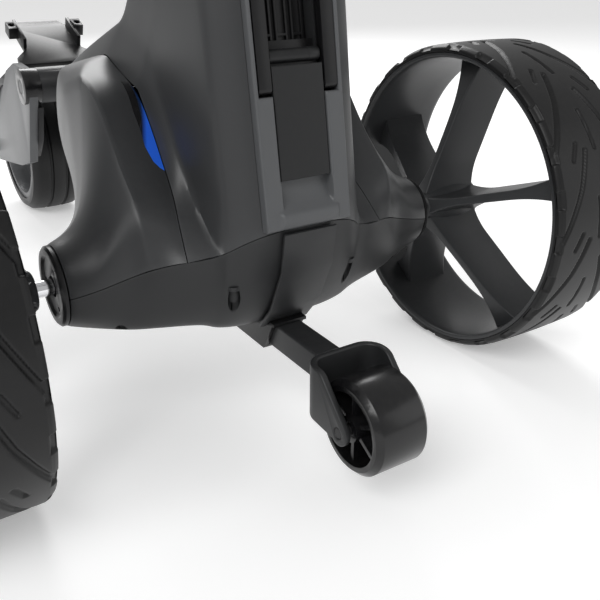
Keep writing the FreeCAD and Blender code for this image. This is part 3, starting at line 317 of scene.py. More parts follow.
def raw_piece(name, points, faces, finish, smooth=True):
    mesh = bpy.data.meshes.new(name)
    mesh.from_pydata([tuple(point) for point in points], [], faces)
    mesh.validate()
    mesh.materials.append(FINISH[finish])
    for face in mesh.polygons:
        face.use_smooth = smooth
    obj = bpy.data.objects.new(name, mesh)
    scene.collection.objects.link(obj)
    return obj


def modify(obj, kind, **settings):
    modifier = obj.modifiers.new(kind.title(), kind)
    for key, value in settings.items():
        setattr(modifier, key, value)
    return modifier


def settle(obj, sharp=35.0):
    bpy.context.view_layer.update()
    graph = bpy.context.evaluated_depsgraph_get()
    mesh = bpy.data.meshes.new_from_object(obj.evaluated_get(graph))
    obj.modifiers.clear()
    obj.data = mesh
    for face in mesh.polygons:
        face.use_smooth = True
    mesh.set_sharp_from_angle(angle=math.radians(sharp))
    return obj


def carve(obj, *tools, operation="DIFFERENCE"):
    for tool in tools:
        modify(obj, "BOOLEAN", operation=operation, object=tool, solver="EXACT")
    settle(obj)
    return obj


def discard(*objs):
    for obj in objs:
        bpy.data.objects.remove(obj)


def mirrored(obj, name):
    mesh = obj.data.copy()
    mesh.transform(Matrix.Scale(-1, 4, Vector((1, 0, 0))))
    mesh.flip_normals()
    twin = bpy.data.objects.new(name, mesh)
    scene.collection.objects.link(twin)
    return twin


def merged(name, *objs):
    """One object from several; the first keeps its materials first."""
    with bpy.context.temp_override(active_object=objs[0], selected_editable_objects=list(objs)):
        bpy.ops.object.join()
    objs[0].name = name
    return objs[0]


def adopt(obj, body, finish, *nodes):
    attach(obj, body)
    if nodes:
        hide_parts(*nodes)
    return obj


def turned(name, profile, finish, centre, steps=128, closed=True):
    """Turns an (x, radius) outline in millimetres about an axis along X through centre."""
    count = len(profile)
    points = []
    for i in range(steps):
        angle = 2 * math.pi * i / steps
        for x, radius in profile:
            points.append(centre + Vector((x, radius * math.cos(angle), radius * math.sin(angle))) / 1000)
    faces = []
    for i in range(steps):
        here, after = i * count, (i + 1) % steps * count
        for j in range(count if closed else count - 1):
            k = (j + 1) % count
            faces.append((here + j, here + k, after + k, after + j))
    obj = raw_piece(name, points, faces, finish)
    mesh = bmesh.new()
    mesh.from_mesh(obj.data)
    bmesh.ops.recalc_face_normals(mesh, faces=mesh.faces)
    mesh.to_mesh(obj.data)
    mesh.free()
    return obj


def prism(name, outline, low, high, axis="y", matrix=None, finish="shell_plastic"):
    """A flat outline pushed along an axis; with no matrix, the numbers count from the rear axle."""
    points = []
    for depth in (low, high):
        for a, b in outline:
            spot = {"x": (depth, a, b), "y": (a, depth, b), "z": (a, b, depth)}[axis]
            points.append(matrix @ (Vector(spot) / 1000) if matrix else at(*spot))
    count = len(outline)
    faces = [tuple(range(count)), tuple(range(2 * count - 1, count - 1, -1))]
    faces += [(i, i + count, (i + 1) % count + count, (i + 1) % count) for i in range(count)]
    obj = raw_piece(name, points, faces, finish)
    mesh = bmesh.new()
    mesh.from_mesh(obj.data)
    bmesh.ops.recalc_face_normals(mesh, faces=mesh.faces)
    mesh.to_mesh(obj.data)
    mesh.free()
    return obj


print("mesh helpers", [tool.__name__ for tool in (raw_piece, modify)])

# %% [markdown]
# ## Parts that keep their CAD shape
# Tubes, pins, brackets and the handle already have the right shape, but CAD edges are knife
# sharp and catch no light. A copy of each mesh is welded, its flat faces are joined, and a small
# bevel runs along every sharp edge. Parts sealed inside the housing only take their finish.

# %% Soften the CAD parts
BODY_OF = {}
for body_name, content in frame["record"]["behaviour"]["bodies"].items():
    for node_name in (content["nodes"] if isinstance(content, dict) else content):
        BODY_OF[node_name] = body_name


# Some finishes are tones of one material slot.
SLOT_OF = {"button_blue": "accent_blue", "panel_plastic": "shell_plastic", "rim_plastic": "trim_plastic",
           "pin_dark": "bearing_steel"}


def soften(node, finish, edge=0.6, steps=2):
    source = frame["nodes"][node]
    mesh = source.data.copy()
    if "custom_normal" in mesh.attributes:
        mesh.attributes.remove(mesh.attributes["custom_normal"])
    mesh.materials.clear()
    mesh.materials.append(FINISH[finish])
    obj = bpy.data.objects.new(node + "_soft", mesh)
    scene.collection.objects.link(obj)
    modify(obj, "WELD", merge_threshold=1e-6)
    modify(obj, "DECIMATE", decimate_type="DISSOLVE", angle_limit=math.radians(0.6))
    modify(obj, "BEVEL", width=edge / 1000, segments=steps, limit_method="ANGLE",
           angle_limit=math.radians(35))
    settle(obj, 40)
    return adopt(obj, BODY_OF[node], SLOT_OF.get(finish, finish), node)


SEALED = {
    "drive_gear": "gear_plastic", "motor_pinion": "bearing_steel", "gear_case": "black_plastic",
    "motor": "motor_steel", "controller": "cast_aluminium", "axle_bearings": "bearing_steel",
    "battery_bay": "tray_plastic", "tray_screws": "screw_steel",
}
for node, finish in SEALED.items():
    frame["nodes"][node].data.materials.clear()
    frame["nodes"][node].data.materials.append(FINISH[finish])

SOFTENED = [
    ("axle_shaft", "chrome_steel", 0.5), ("end_ring_right", "black_plastic", 0.4),
    ("end_ring_left", "black_plastic", 0.4), ("battery_case", "black_plastic", 0.3),
    ("battery_panel", "panel_plastic", 1.2), ("battery_bail", "black_plastic", 2.4),
    ("top_cover", "shell_plastic", 0.8), ("latch_lever", "black_plastic", 1.6),
    ("tray_panel", "tray_plastic", 0.5), ("arm_receiver", "black_plastic", 1.2),
    ("arm_button", "black_plastic", 0.8), ("anti_tip_arm", "frame_paint", 0.4),
    ("anti_tip_pin", "pin_dark", 0.6), ("anti_tip_wheel", "gloss_black", 0.8),
    ("front_frame", "frame_paint", 1.0), ("fork_leg_right", "trim_plastic", 1.6),
    ("fork_leg_left", "trim_plastic", 1.6), ("fork_web_right", "black_plastic", 0.7),
    ("fork_web_left", "black_plastic", 0.7), ("front_axle", "bearing_steel", 0.5),
    ("bag_plate", "black_plastic", 1.4), ("front_rim", "trim_plastic", 1.0),
    ("front_tyre", "tread_rubber", 0.6), ("tracking_dial", "black_plastic", 0.5),
    ("mast_bracket", "frame_paint", 1.0), ("mast_tube", "frame_paint", 0.5),
    ("bag_cradle", "black_plastic", 1.6), ("cradle_pads", "pad_rubber", 0.9),
    ("cradle_strap", "pad_rubber", 0.6), ("mast_top", "black_plastic", 0.8),
    ("handle_stem", "frame_paint", 1.5), ("handle_head", "shell_plastic", 1.2),
    ("display", "display_glass", 0.4), ("speed_dial", "gloss_black", 0.8),
    ("power_button", "button_blue", 0.3), ("hand_grips", "pad_rubber", 1.2),
    ("wheel_right_button", "black_plastic", 0.8), ("wheel_left_button", "black_plastic", 0.8),
]
softened = {node: soften(node, finish, edge) for node, finish, edge in SOFTENED}
fold = at(0, 435, 212)
BARREL_RAD = 0.0208
for node in ("fork_leg_right", "fork_leg_left"):
    leg = softened[node].data
    leg.materials.append(FINISH["gloss_black"])
    for face in leg.polygons:
        aside = face.center - fold
        if math.hypot(aside.y, aside.z) < BARREL_RAD:
            face.material_index = 1
print("softened", len(SOFTENED))

# %% [markdown]
# ## Housing
# The housing is moulded in four covers that meet in thin seams: a middle cover that rises into
# the tower, two flanks that sweep out to the axle ends, and a tray below. Flowing covers like
# these are hard to get from boxes, so each is a loose cage of section outlines, one per distance
# from the middle plane. A subdivision surface rounds the cage, with creased loops where the real
# covers have a firmer fold, and Solidify gives the wall its thickness.

# %% Section outlines
COVER = {
    35: [(-85.5, 184), (-76.8, 240), (-69.7, 285), (-62.5, 330), (-51.5, 400), (-46.5, 432),
         (22, 438), (95, 312), (248, 262), (270, 236), (274, 186), (245, 162), (115, 152)],
    56: [(-67.5, 168), (-57, 240), (-51, 285), (-45.5, 330), (-34.5, 395), (-29.5, 426),
         (14, 431), (92, 310), (247, 261), (269, 236), (273, 186), (244, 162), (115, 152)],
    62: [(-67, 167), (-36, 187), (-19, 209), (2, 241), (23, 273), (37, 296),
         (62, 305), (93, 308), (245, 260), (267, 235), (271, 186), (242, 162), (115, 152)],
    70: [(-65.5, 165), (-33, 188), (-21, 198), (-1, 214), (21, 239), (44, 265),
         (74, 272), (108, 284), (240, 258), (262, 234), (266, 186), (238, 162), (115, 152)],
    90: [(-56, 163), (-38, 190), (-22, 205), (-3, 222), (14, 242), (36, 266),
         (64, 277), (100, 281), (178, 264), (200, 240), (206, 200), (180, 176), (112, 157)],
    107: [(-46, 158), (-41, 192), (-25, 206), (-7, 221), (7, 238), (22, 256),
          (42, 271), (62, 274), (110, 260), (128, 236), (128, 205), (116, 185), (90, 166)],
    120: [(-38, 152.3), (-33, 184), (-22, 194), (-9, 200), (4, 204), (16, 205),
          (28, 203), (39, 198), (50, 191), (57, 183), (58, 175), (54, 168), (46, 160)],
}
BELLY = {
    35: [(-85.5, 184), (-80, 150), (-63, 114), (-46, 94), (-20, 86),
         (45, 88), (80, 115), (100, 140), (115, 152)],
    56: [(-67.5, 168), (-66, 148), (-58, 118), (-46, 99), (-20, 92),
         (45, 92), (80, 115), (100, 138), (115, 152)],
    62: [(-67, 167), (-65, 147), (-57, 120), (-45, 102), (-20, 95),
         (44, 94), (79, 115), (99, 138), (115, 152)],
    70: [(-65.5, 165), (-63, 146), (-55, 121), (-43, 104), (-19, 98),
         (42, 97), (76, 115), (97, 137), (115, 152)],
    90: [(-56, 163), (-54, 144), (-48, 121), (-38, 106), (-17, 99),
         (34, 99), (62, 114), (84, 137), (112, 157)],
    107: [(-46, 158), (-45, 141), (-41, 121), (-33, 107), (-14, 100),
         (24, 101), (45, 114), (62, 136), (90, 166)],
    120: [(-38, 152.3), (-38, 138), (-35, 120), (-28, 108), (-12, 101),
         (12, 102), (28, 114), (38, 135), (46, 160)],
}
# The seam between tower and flank swings outwards at its foot: (x, y, z) for its lowest rows.
SEAM = {0: (84, -59.5, 163.5), 1: (79, -35.5, 189), 2: (74.5, -21, 199.5), 3: (71.5, -1, 214)}
AXLE_MM = AXLE.z * 1000


def end_ring(radius, count, way):
    """Half a circle about the axle, from the rear over the top (way -1) or under the belly (1)."""
    ring = []
    for i in range(count):
        angle = math.radians(180 + way * 180 * i / (count - 1))
        ring.append((radius * math.cos(angle), AXLE_MM + radius * math.sin(angle)))
    return ring


for rows, count, way in ((COVER, 13, -1), (BELLY, 9, 1)):
    rows[140] = end_ring(37.0, count, way)
    rows[140][0] = (-36.7, AXLE_MM + 4.9)
    rows[159.5] = end_ring(30.0, count, way)
    rows[159.9] = end_ring(13.0, count, way)
print("stations", sorted(COVER))


# %% [markdown]
# A cage is a grid: one column of points per station and one row per point of the outline. Where
# two covers meet, both cages use the same edge points, so the rounded edges run exactly parallel
# and a narrow even seam stays between them.


# %% Cage
def cage(name, rows, stations, finish, lift=0.0, edge=0.0, folds=None, crests=None):
    """A cover's control mesh. folds and crests give the crease of a station or of a row."""
    points, faces = [], []
    height = len(rows[abs(stations[0])])
    for number, station in enumerate(stations):
        shift = edge if number == 0 else (-edge if number == len(stations) - 1 else 0.0)
        for i, (y, z) in enumerate(rows[abs(station)]):
            x = station
            if rows is COVER and abs(station) == 70 and i in SEAM:
                x, y, z = SEAM[i]
                x = math.copysign(x, station)
            points.append(at(x + shift, y, z + lift))
    for j in range(len(stations) - 1):
        for i in range(height - 1):
            a, b = j * height + i, (j + 1) * height + i
            faces.append((a, b, b + 1, a + 1) if rows is COVER else (a, a + 1, b + 1, b))
    obj = raw_piece(name, points, faces, finish)
    crease = obj.data.attributes.new("crease_edge", "FLOAT", "EDGE")
    for line in obj.data.edges:
        (j, i), (k, m) = (divmod(v, height) for v in line.vertices)
        if j == k:
            crease.data[line.index].value = (folds or {}).get(abs(stations[j]), 0.0)
        elif i == m:
            crease.data[line.index].value = (crests or {}).get(i, 0.0)
    modify(obj, "SUBSURF", levels=3, render_levels=3, boundary_smooth="PRESERVE_CORNERS")
    modify(obj, "SOLIDIFY", thickness=0.003, offset=-1.0, use_even_offset=True)
    return settle(obj)


MIDDLE = [-70, -62, -56, -35, 35, 56, 62, 70]
FLANK = [70, 90, 107, 120, 140, 159.5, 159.9]
LIFT, EDGE = 0.3, 0.35
spine = cage("spine_shell_skin", COVER, MIDDLE, "shell_plastic", lift=LIFT, edge=EDGE,
             folds={56: 0.85, 62: 0.5}, crests={5: 0.6, 6: 0.4, 7: 0.6})
flank = cage("side_shell_right_skin", COVER, FLANK, "shell_plastic", lift=LIFT, edge=EDGE,
             folds={159.5: 0.8, 107: 0.55}, crests={7: 0.45, 8: 0.35})
whole_width = [-x for x in FLANK[:0:-1]] + MIDDLE + FLANK[1:]
tray = cage("lower_tray_skin", BELLY, whole_width, "tray_plastic", lift=-LIFT,
            folds={159.5: 0.8, 56: 0.3}, crests={3: 0.3})
print("cover faces", len(spine.data.polygons), len(flank.data.polygons), len(tray.data.polygons))

# %% [markdown]
# The openings come next: the tall slot for the battery surround, the mouth for the front tube,
# the screw wells in the tray and the room of the anti-tip receiver. Cutting with Booleans keeps
# the rounded surface around them exactly as it was.

# %% Openings in the covers


def rounded_corners(low, high, radius, steps=5):
    """Outline of an upright rectangle with rounded corners."""
    (x0, z0), (x1, z1) = low, high
    spots = []
    for cx, cz, start in ((x1 - radius, z0 + radius, 270), (x1 - radius, z1 - radius, 0),
                          (x0 + radius, z1 - radius, 90), (x0 + radius, z0 + radius, 180)):
        for i in range(steps + 1):
            angle = math.radians(start + 90 * i / steps)
            spots.append((cx + radius * math.cos(angle), cz + radius * math.sin(angle)))
    return spots


TRIM_HALF, TRIM_HIGH, SEAM_GAP = 35.0, 240.0, 0.4
side_edge, top_edge = TRIM_HALF + SEAM_GAP, TRIM_HIGH + SEAM_GAP
slot_outline = rounded_corners((-side_edge, -SEAM_GAP), (side_edge, top_edge), 4.0)
slot_tool = prism("slot_tool", slot_outline, -20, 30, "y", BAY)
mouth_tool = prism("mouth_tool", rounded_corners((-20.5, 194.5), (20.5, 229.5), 5.2), 200, 320, "y")
carve(spine, slot_tool, mouth_tool)
foot_outline = rounded_corners((-side_edge, -SEAM_GAP), (side_edge, 30), 4.0)
foot_tool = prism("foot_tool", foot_outline, -20, 30, "y", BAY)
room_tool = prism("room_tool", rounded_corners((-15.4, 60), (15.4, 96.6), 1.0), -110, 28.4, "y")
WELLS = [(50.7, -62.5, 139.0), (124.0, -24.0, 121.0), (94.0, 14.0, 116.0)]
WELL_RAD, WELL_WALL = 4.6, 0.6
corners = [v.co for v in tray.data.vertices]
whole = BVHTree.FromPolygons(corners, [tuple(f.vertices) for f in tray.data.polygons])
well_tools = []
for x, y, top in WELLS:
    for side in (-1, 1):
        ring = []
        for angle in range(0, 360, 12):
            turn = math.radians(angle)
            ring.append((side * x + WELL_RAD * math.cos(turn), y + WELL_RAD * math.sin(turn)))
        well_tools.append(prism("well_tool", ring, 60, top, "z"))
carve(tray, foot_tool, room_tool, *well_tools)
print("well openings", len(well_tools))

# %% [markdown]
# The screw wells need walls, or one would look through the tray. Each gets a short open tube
# whose lower edge follows the skin, found by looking up from below, and which ends at the screw.

# %% Well walls
STEPS = 30


def skin_height(x, y, top):
    hit = whole.ray_cast(at(x, y, 40), Vector((0, 0, 1)))[0]
    return min(hit.z * 1000 + 0.8, top - 2) if hit else top - 2


tubes = []
outer_rad = WELL_RAD + WELL_WALL
for x, y, top in WELLS:
    for side in (-1, 1):
        points, faces = [], []
        for end, radius in ((0, outer_rad), (0, WELL_RAD), (1, WELL_RAD), (1, outer_rad)):
            for i in range(STEPS):
                angle = 2 * math.pi * i / STEPS
                px, py = side * x + radius * math.cos(angle), y + radius * math.sin(angle)
                points.append(at(px, py, top + 1 if end else skin_height(px, py, top)))
        for ring in range(4):
            here, after = ring * STEPS, (ring + 1) % 4 * STEPS
            for i in range(STEPS):
                k = (i + 1) % STEPS
                faces.append((here + i, here + k, after + k, after + i))
        tubes.append(raw_piece("well_wall", points, faces, "tray_plastic"))
tray = merged("lower_tray_skin", tray, *tubes)
settle(tray, 35)
adopt(tray, "chassis", "tray_plastic", "lower_tray")
adopt(spine, "chassis", "shell_plastic", "spine_shell")
print("well walls", len(tubes))

# %% [markdown]
# ### Side accents
# A gloss blade and a blue inlay sit flush in each flank. They could be painted on, but on the
# real cover they are separate mouldings with a seam round them. So the flank itself is cut by an
# outline prism: the part inside becomes the accent, and a slightly larger cut leaves the seam.

# %% Accents
BLADE = [
    (71.4, 268.5), (77.5, 269.5), (80.5, 252.0), (80.4, 242.0), (75.8, 247.6), (73.0, 258.4),
]
INLAY = [
    (70.2, 266.5), (71.3, 266.5), (72.8, 258.0), (75.6, 247.2), (80.2, 241.6), (81.4, 231.0),
    (79.0, 221.0), (75.2, 216.2), (70.2, 212.5),
]


def grown(outline, amount):
    """The same outline with every side moved outwards."""
    count = len(outline)
    area = sum(outline[i][0] * outline[(i + 1) % count][1] - outline[(i + 1) % count][0] * outline[i][1]
               for i in range(count))
    sign = 1.0 if area > 0 else -1.0
    moved = []
    for i in range(count):
        before, here, after = outline[i - 1], outline[i], outline[(i + 1) % count]
        normals = []
        for a, b in ((before, here), (here, after)):
            dx, dz = b[0] - a[0], b[1] - a[1]
            length = math.hypot(dx, dz)
            normals.append((dz / length * sign, -dx / length * sign))
        (ax, az), (bx, bz) = normals
        scale = amount / max(0.4, 1 + ax * bx + az * bz)
        moved.append((here[0] + (ax + bx) * scale, here[1] + (az + bz) * scale))
    return moved


ACCENT_SEAM = 0.14
ACCENTS = [("accent_blade", BLADE, "gloss_black"), ("accent_inlay", INLAY, "accent_blue")]
for label, outline, finish in ACCENTS:
    tool = prism("accent_tool", outline, -40, 110, "y")
    wide_tool = prism("accent_seam", grown(outline, ACCENT_SEAM), -40, 110, "y")
    accent = flank.copy()
    accent.data = flank.data.copy()
    accent.name = label + "_right_skin"
    scene.collection.objects.link(accent)
    carve(accent, tool, operation="INTERSECT")
    accent.data.materials.clear()
    accent.data.materials.append(FINISH[finish])
    carve(flank, wide_tool)
    twin = mirrored(accent, label + "_left_skin")
    adopt(accent, "chassis", finish, label + "_right")
    adopt(twin, "chassis", finish, label + "_left")
    discard(tool, wide_tool)
discard(slot_tool, mouth_tool, foot_tool, room_tool, *well_tools)
other_flank = mirrored(flank, "side_shell_left_skin")
adopt(flank, "chassis", "shell_plastic", "side_shell_right")
adopt(other_flank, "chassis", "shell_plastic", "side_shell_left")
print("flank faces", len(flank.data.polygons))

# %% [markdown]
# ## Battery surround
# A light frame runs round the battery slot and ends in a scooped lip for the thumb. Its face is
# flat with soft edges, but the scoop is hollow and the lip stands proud, so the whole face is a
# height map over a grid whose lines crowd where it curves. Cells over the opening are left out
# and the borders fold back into the housing.

# %% Surround
SCOOP = [
    (0.0, 0.0), (2.5, -1.5), (6.0, -3.0), (9.0, -3.2), (11.0, -2.5), (13.0, -0.5), (17.0, 3.0),
    (22.0, 6.0), (28.0, 8.0), (33.3, 8.5),
]
SCOOP_TOP, SCOOP_HALF = 33.4, 21.4
OPENINGS = [(20.9, 33.3, 92.0), (31.7, 90.0, 232.0)]


def between(table, value):
    """Reads a table of (place, height) pairs along straight lines."""
    if value <= table[0][0]:
        return table[0][1]
    for (a, low), (b, high) in zip(table, table[1:]):
        if value <= b:
            return low + (high - low) * (value - a) / (b - a)
    return table[-1][1]


def ease(value, low, high):
    t = min(1.0, max(0.0, (value - low) / (high - low)))
    return t * t * (3 - 2 * t)


def surround_depth(x, z):
    across = abs(x)
    depth = 0.0
    if z < SCOOP_TOP:
        scoop = between(SCOOP, z)
        wall = (19.6, SCOOP_HALF) if scoop > 0 else (21.5, 26.0)
        depth = scoop * (1 - ease(across, *wall))
    inside = min(TRIM_HALF - across, z, TRIM_HIGH - z)
    for half, low, high in OPENINGS:
        aside = max(across - half, 0.0)
        above = max(low - z, z - high, 0.0)
        gap = math.hypot(aside, above)
        if not (z < SCOOP_TOP and across < SCOOP_HALF):
            inside = min(inside, gap)
    radius = 1.7
    if inside < radius:
        depth += radius - math.sqrt(max(0.0, radius ** 2 - (radius - inside) ** 2))
    return depth


half_lines = [
    35, 34.9, 34.6, 34.1, 33.4, 32.6, 32.1, 31.85, 31.7, 30, 28, 26, 25, 24, 23.2, 22.5, 22.0, 21.4,
    20.9, 20.3, 19.6, 18, 15, 11, 6, 0,
]
lines_x = [-x for x in half_lines] + half_lines[-2::-1]
lines_z = [
    0, 0.1, 0.4, 0.9, 1.6, 2.5, 4, 5.5, 7, 8.5, 10, 11.5, 12.5, 13.5, 15, 16.5, 18.5, 21, 24, 27,
    30, 31.6, 32.6, 33.1, 33.3, 40, 55, 70, 84, 88.3, 89.1, 89.6, 89.9, 90, 92, 110, 140, 170, 200,
    225, 232, 232.1, 232.4, 232.9, 233.6, 235, 238.3, 239.1, 239.6, 239.9, 240,
]
points = [BAY @ (Vector((x, surround_depth(x, z), z)) / 1000) for z in lines_z for x in lines_x]
faces = []
across = len(lines_x)
for i in range(len(lines_z) - 1):
    for j in range(across - 1):
        x, z = (lines_x[j] + lines_x[j + 1]) / 2, (lines_z[i] + lines_z[i + 1]) / 2
        if not any(abs(x) < half and low < z < high for half, low, high in OPENINGS):
            faces.append((i * across + j, i * across + j + 1, (i + 1) * across + j + 1, (i + 1) * across + j))
surround = raw_piece("bay_surround_face", points, faces, "trim_plastic")
mesh = bmesh.new()
mesh.from_mesh(surround.data)
bmesh.ops.delete(mesh, geom=[v for v in mesh.verts if not v.link_faces], context="VERTS")
border = [edge for edge in mesh.edges if edge.is_boundary]
made = bmesh.ops.extrude_edge_only(mesh, edges=border)["geom"]
back = BAY.inverted()
TRIM_BACK = 0.0098
for vert in (item for item in made if isinstance(item, bmesh.types.BMVert)):
    local = back @ vert.co
    local.y = TRIM_BACK
    vert.co = BAY @ local
bmesh.ops.recalc_face_normals(mesh, faces=mesh.faces)
mesh.to_mesh(surround.data)
mesh.free()
settle(surround, 50)
adopt(surround, "chassis", "trim_plastic", "bay_surround")
print("surround faces", len(surround.data.polygons))

# %% [markdown]
# ## Anti-tip fork
# The fork is a moulded band bent into a U, so seen from above it has round corners and seen from
# the side it tapers to a round end at the wheel pin. Pushing the U upwards and the side view
# sideways, and keeping only what both share, gives exactly that, and a bevel rounds its rim.

# %% Fork band
PIN_Y, PIN_Z, EAR = -167.0, 65.2, 9.5
BASE_Y, BEND = -122.1, 16.0


def arc(cy, cz, radius, first, last, steps=10):
    """Points on a circle between two angles in degrees."""
    spots = []
    for i in range(steps + 1):
        angle = math.radians(first + (last - first) * i / steps)
        spots.append((cy + radius * math.cos(angle), cz + radius * math.sin(angle)))
    return spots


BAND_HALF, BAND_THICK, TIP_Y = 31.0, 5.0, -180.0
corner_x, corner_y, bend_in = BAND_HALF - BEND, BASE_Y - BEND, BEND - BAND_THICK
band_in = BAND_HALF - BAND_THICK
band_outline = [(BAND_HALF, TIP_Y)]
band_outline += arc(corner_x, corner_y, BEND, 0, 90)
band_outline += arc(-corner_x, corner_y, BEND, 90, 180)
band_outline += [(-BAND_HALF, TIP_Y), (-band_in, TIP_Y)]
band_outline += arc(-corner_x, corner_y, bend_in, 180, 90)
band_outline += arc(corner_x, corner_y, bend_in, 90, 0)
band_outline += [(band_in, TIP_Y)]
side_outline = arc(-140.0, 89.5, 12.0, 130, 90, 6) + [(-121.0, 101.5), (-121.0, 60.0)]
side_outline += arc(PIN_Y, PIN_Z, EAR, -52, -218, 14)
band = prism("anti_tip_fork_band", band_outline, 40, 120, "z", finish="tray_plastic")
side_view = prism("fork_side", side_outline, -40, 40, "x")
pin_bore = prism("fork_bore", arc(PIN_Y, PIN_Z, 4.1, 0, 345, 23), -40, 40, "x")
carve(band, side_view, operation="INTERSECT")
carve(band, pin_bore)
discard(side_view, pin_bore)
modify(band, "BEVEL", width=0.0013, segments=3, limit_method="ANGLE", angle_limit=math.radians(40))
settle(band, 40)
adopt(band, "anti_tip", "tray_plastic", "anti_tip_fork")
print("fork faces", len(band.data.polygons))

# %% [markdown]
# ## Rear tyres
# Each tyre is a wide band with long slanting grooves that reach in from both shoulders, slim
# slots between them and notched shoulder blocks. Grooves could be cut by Booleans, but dozens of
# slanted cuts on a curved band are slow and leave poor faces. Instead the band is one fine grid
# whose points are pushed inwards wherever a groove runs.

# %% Tread pattern
TYRE_IN, TYRE_WIDE = 204.0, 92.0
REPEATS = 12
PITCH = 2 * math.pi * AXLE_MM / REPEATS
GROOVES = [
    ([(-3, 10), (10, -14), (24, -42), (36, -74)], 1.9, 2.6),
    ([(95, 30), (82, 6), (68, -22), (56, -54)], 1.9, 2.6),
    ([(45, -34), (47.5, 0)], 1.4, 2.0), ([(20, 8), (27, -6)], 1.5, 2.0), ([(72, 22), (65, 8)], 1.5, 2.0),
]
print("grooves in a repeat", len(GROOVES), "pitch in mm", round(PITCH, 1))


def groove_depth(across, along):
    """How deep the tread is cut at arrays of places, in millimetres."""
    depth = np.zeros_like(across)
    for line, half, deep in GROOVES:
        for shift in range(-3, 4):
            nearest = np.full_like(across, 1e9)
            for (xa, sa), (xb, sb) in zip(line, line[1:]):
                dx, ds = xb - xa, sb - sa
                px, ps = across - xa, along - sa - shift * PITCH
                t = np.clip((px * dx + ps * ds) / (dx * dx + ds * ds), 0, 1)
                nearest = np.minimum(nearest, np.hypot(px - t * dx, ps - t * ds))
            wall = np.clip((half + 0.8 - nearest) / 1.6, 0, 1)
            depth = np.maximum(depth, deep * wall * wall * (3 - 2 * wall))
    for start, side in ((0.0, across), (0.45, TYRE_WIDE - across)):
        phase = (along / PITCH + start) * 2 % 1
        block = np.clip((np.abs(phase - 0.5) - 0.28) / 0.03, 0, 1)
        edge = np.clip((5.0 - side) / 1.2, 0, 1)
        depth = np.maximum(depth, 2.4 * block * edge)
    return depth


# %% Tyre mesh
rim_edge = AXLE_MM - 7.2
near_edge = [0, 0.6, 1.4, 2.4, 3.2, 4.0, 4.6, 5.2]
far_edge = [86.8, 87.4, 88, 88.8, 89.6, 90.6, 91.4, 92]
lines = np.concatenate([near_edge, np.linspace(6.4, 85.6, 76), far_edge])
turns = 1080
angles = np.arange(turns) * 2 * math.pi / turns
across_grid, angle_grid = np.meshgrid(lines, angles)
folded = (angle_grid * AXLE_MM) % PITCH
middle = np.abs(across_grid - TYRE_WIDE / 2)
SHOULDER = 42
bulge = 0.3 * (middle / 24) ** 2 * (middle < SHOULDER)
step = 1.3 * (middle >= SHOULDER)
crown = AXLE_MM - bulge - step - 2.3 * np.clip((middle - SHOULDER) / 4, 0, 1) ** 1.6
radius = crown - groove_depth(across_grid, folded)
wall_rows = [(0.0, rim_edge), (0.0, AXLE_MM - 5.2)]
columns = [(np.full(turns, x), np.full(turns, r)) for x, r in wall_rows]
columns += [(across_grid[:, k], radius[:, k]) for k in range(len(lines))]
columns += [(np.full(turns, TYRE_WIDE - x), np.full(turns, r)) for x, r in wall_rows[::-1]]
points, faces = [], []
for i in range(turns):
    for x, r in columns:
        points.append(((TYRE_IN + x[i]) / 1000, AXLE.y + r[i] * math.cos(angles[i]) / 1000,
                       AXLE.z + r[i] * math.sin(angles[i]) / 1000))
count = len(columns)
for i in range(turns):
    here, after = i * count, (i + 1) % turns * count
    faces += [(here + j, after + j, after + (j + 1) % count, here + (j + 1) % count) for j in range(count)]
tyre = raw_piece("wheel_right_tyre_tread", points, faces, "tread_rubber")
tyre.data.set_sharp_from_angle(angle=math.radians(70))
other_tyre = mirrored(tyre, "wheel_left_tyre_tread")
adopt(tyre, "wheel_right", "tread_rubber", "wheel_right_tyre")
adopt(other_tyre, "wheel_left", "tread_rubber", "wheel_left_tyre")
print("tyre faces", len(faces))

# %% [markdown]
# ## Rear rims
# The rim is a deep barrel with five blades. A blade shows a narrow face towards the housing and
# a deep flank, and it flares where it runs into hub and barrel. It is lofted from rounded slices
# taken along its length, so the flare is set by one width curve for each face.

# %% Rim barrel and hub
barrel = turned("rim_barrel", [
    (204.0, rim_edge - 0.6), (204.0, 132.6), (204.6, 131.4), (206.0, 130.7), (208.0, 130.3),
    (212.0, 129.9), (234.0, 129.0), (272.0, 129.0), (290.0, 129.6), (294.0, 130.4), (296.0, 131.8),
    (296.0, rim_edge - 0.6), (294.0, rim_edge - 0.3), (206.0, rim_edge - 0.3)], "rim_plastic", AXLE, 160)
hub = turned("rim_hub", [
    (176.0, 6.4), (176.0, 12.8), (176.6, 13.8), (178.0, 14.6), (181.0, 15.6), (190.0, 17.6),
    (200.0, 19.2), (212.0, 20.2),
    (222.0, 20.0), (230.0, 19.0), (234.6, 17.8), (236.0, 16.4), (236.0, 13.4), (235.0, 12.3), (214.5, 12.2),
    (214.0, 6.4)], "rim_plastic", AXLE, 96)
print("barrel and hub faces", len(barrel.data.polygons), len(hub.data.polygons))


# %% Blades
ROOT_RAD, TIP_RAD, CUTS = 14, 130.2, 30


def blade_slices():
    """(radius, inner x, outer x, inner half width, outer half width) along one blade."""
    slices = []
    for i in range(CUTS + 1):
        t = i / CUTS
        r = ROOT_RAD + (TIP_RAD - ROOT_RAD) * t
        inner = 178 + 52 * (t ** 0.85)
        outer = 231 + 48 * t
        near_rim, near_hub = max(0.0, (r - 76) / 54), max(0.0, (40 - r) / 26)
        narrow = 3.2 + 1.6 * t + 10.4 * near_rim ** 2.3 + 4.2 * near_hub ** 2
        wide = 5.4 + 1.0 * t + 10.0 * near_rim ** 2.3 + 7.0 * near_hub ** 2
        slices.append((r, inner, outer, narrow, wide))
    return slices


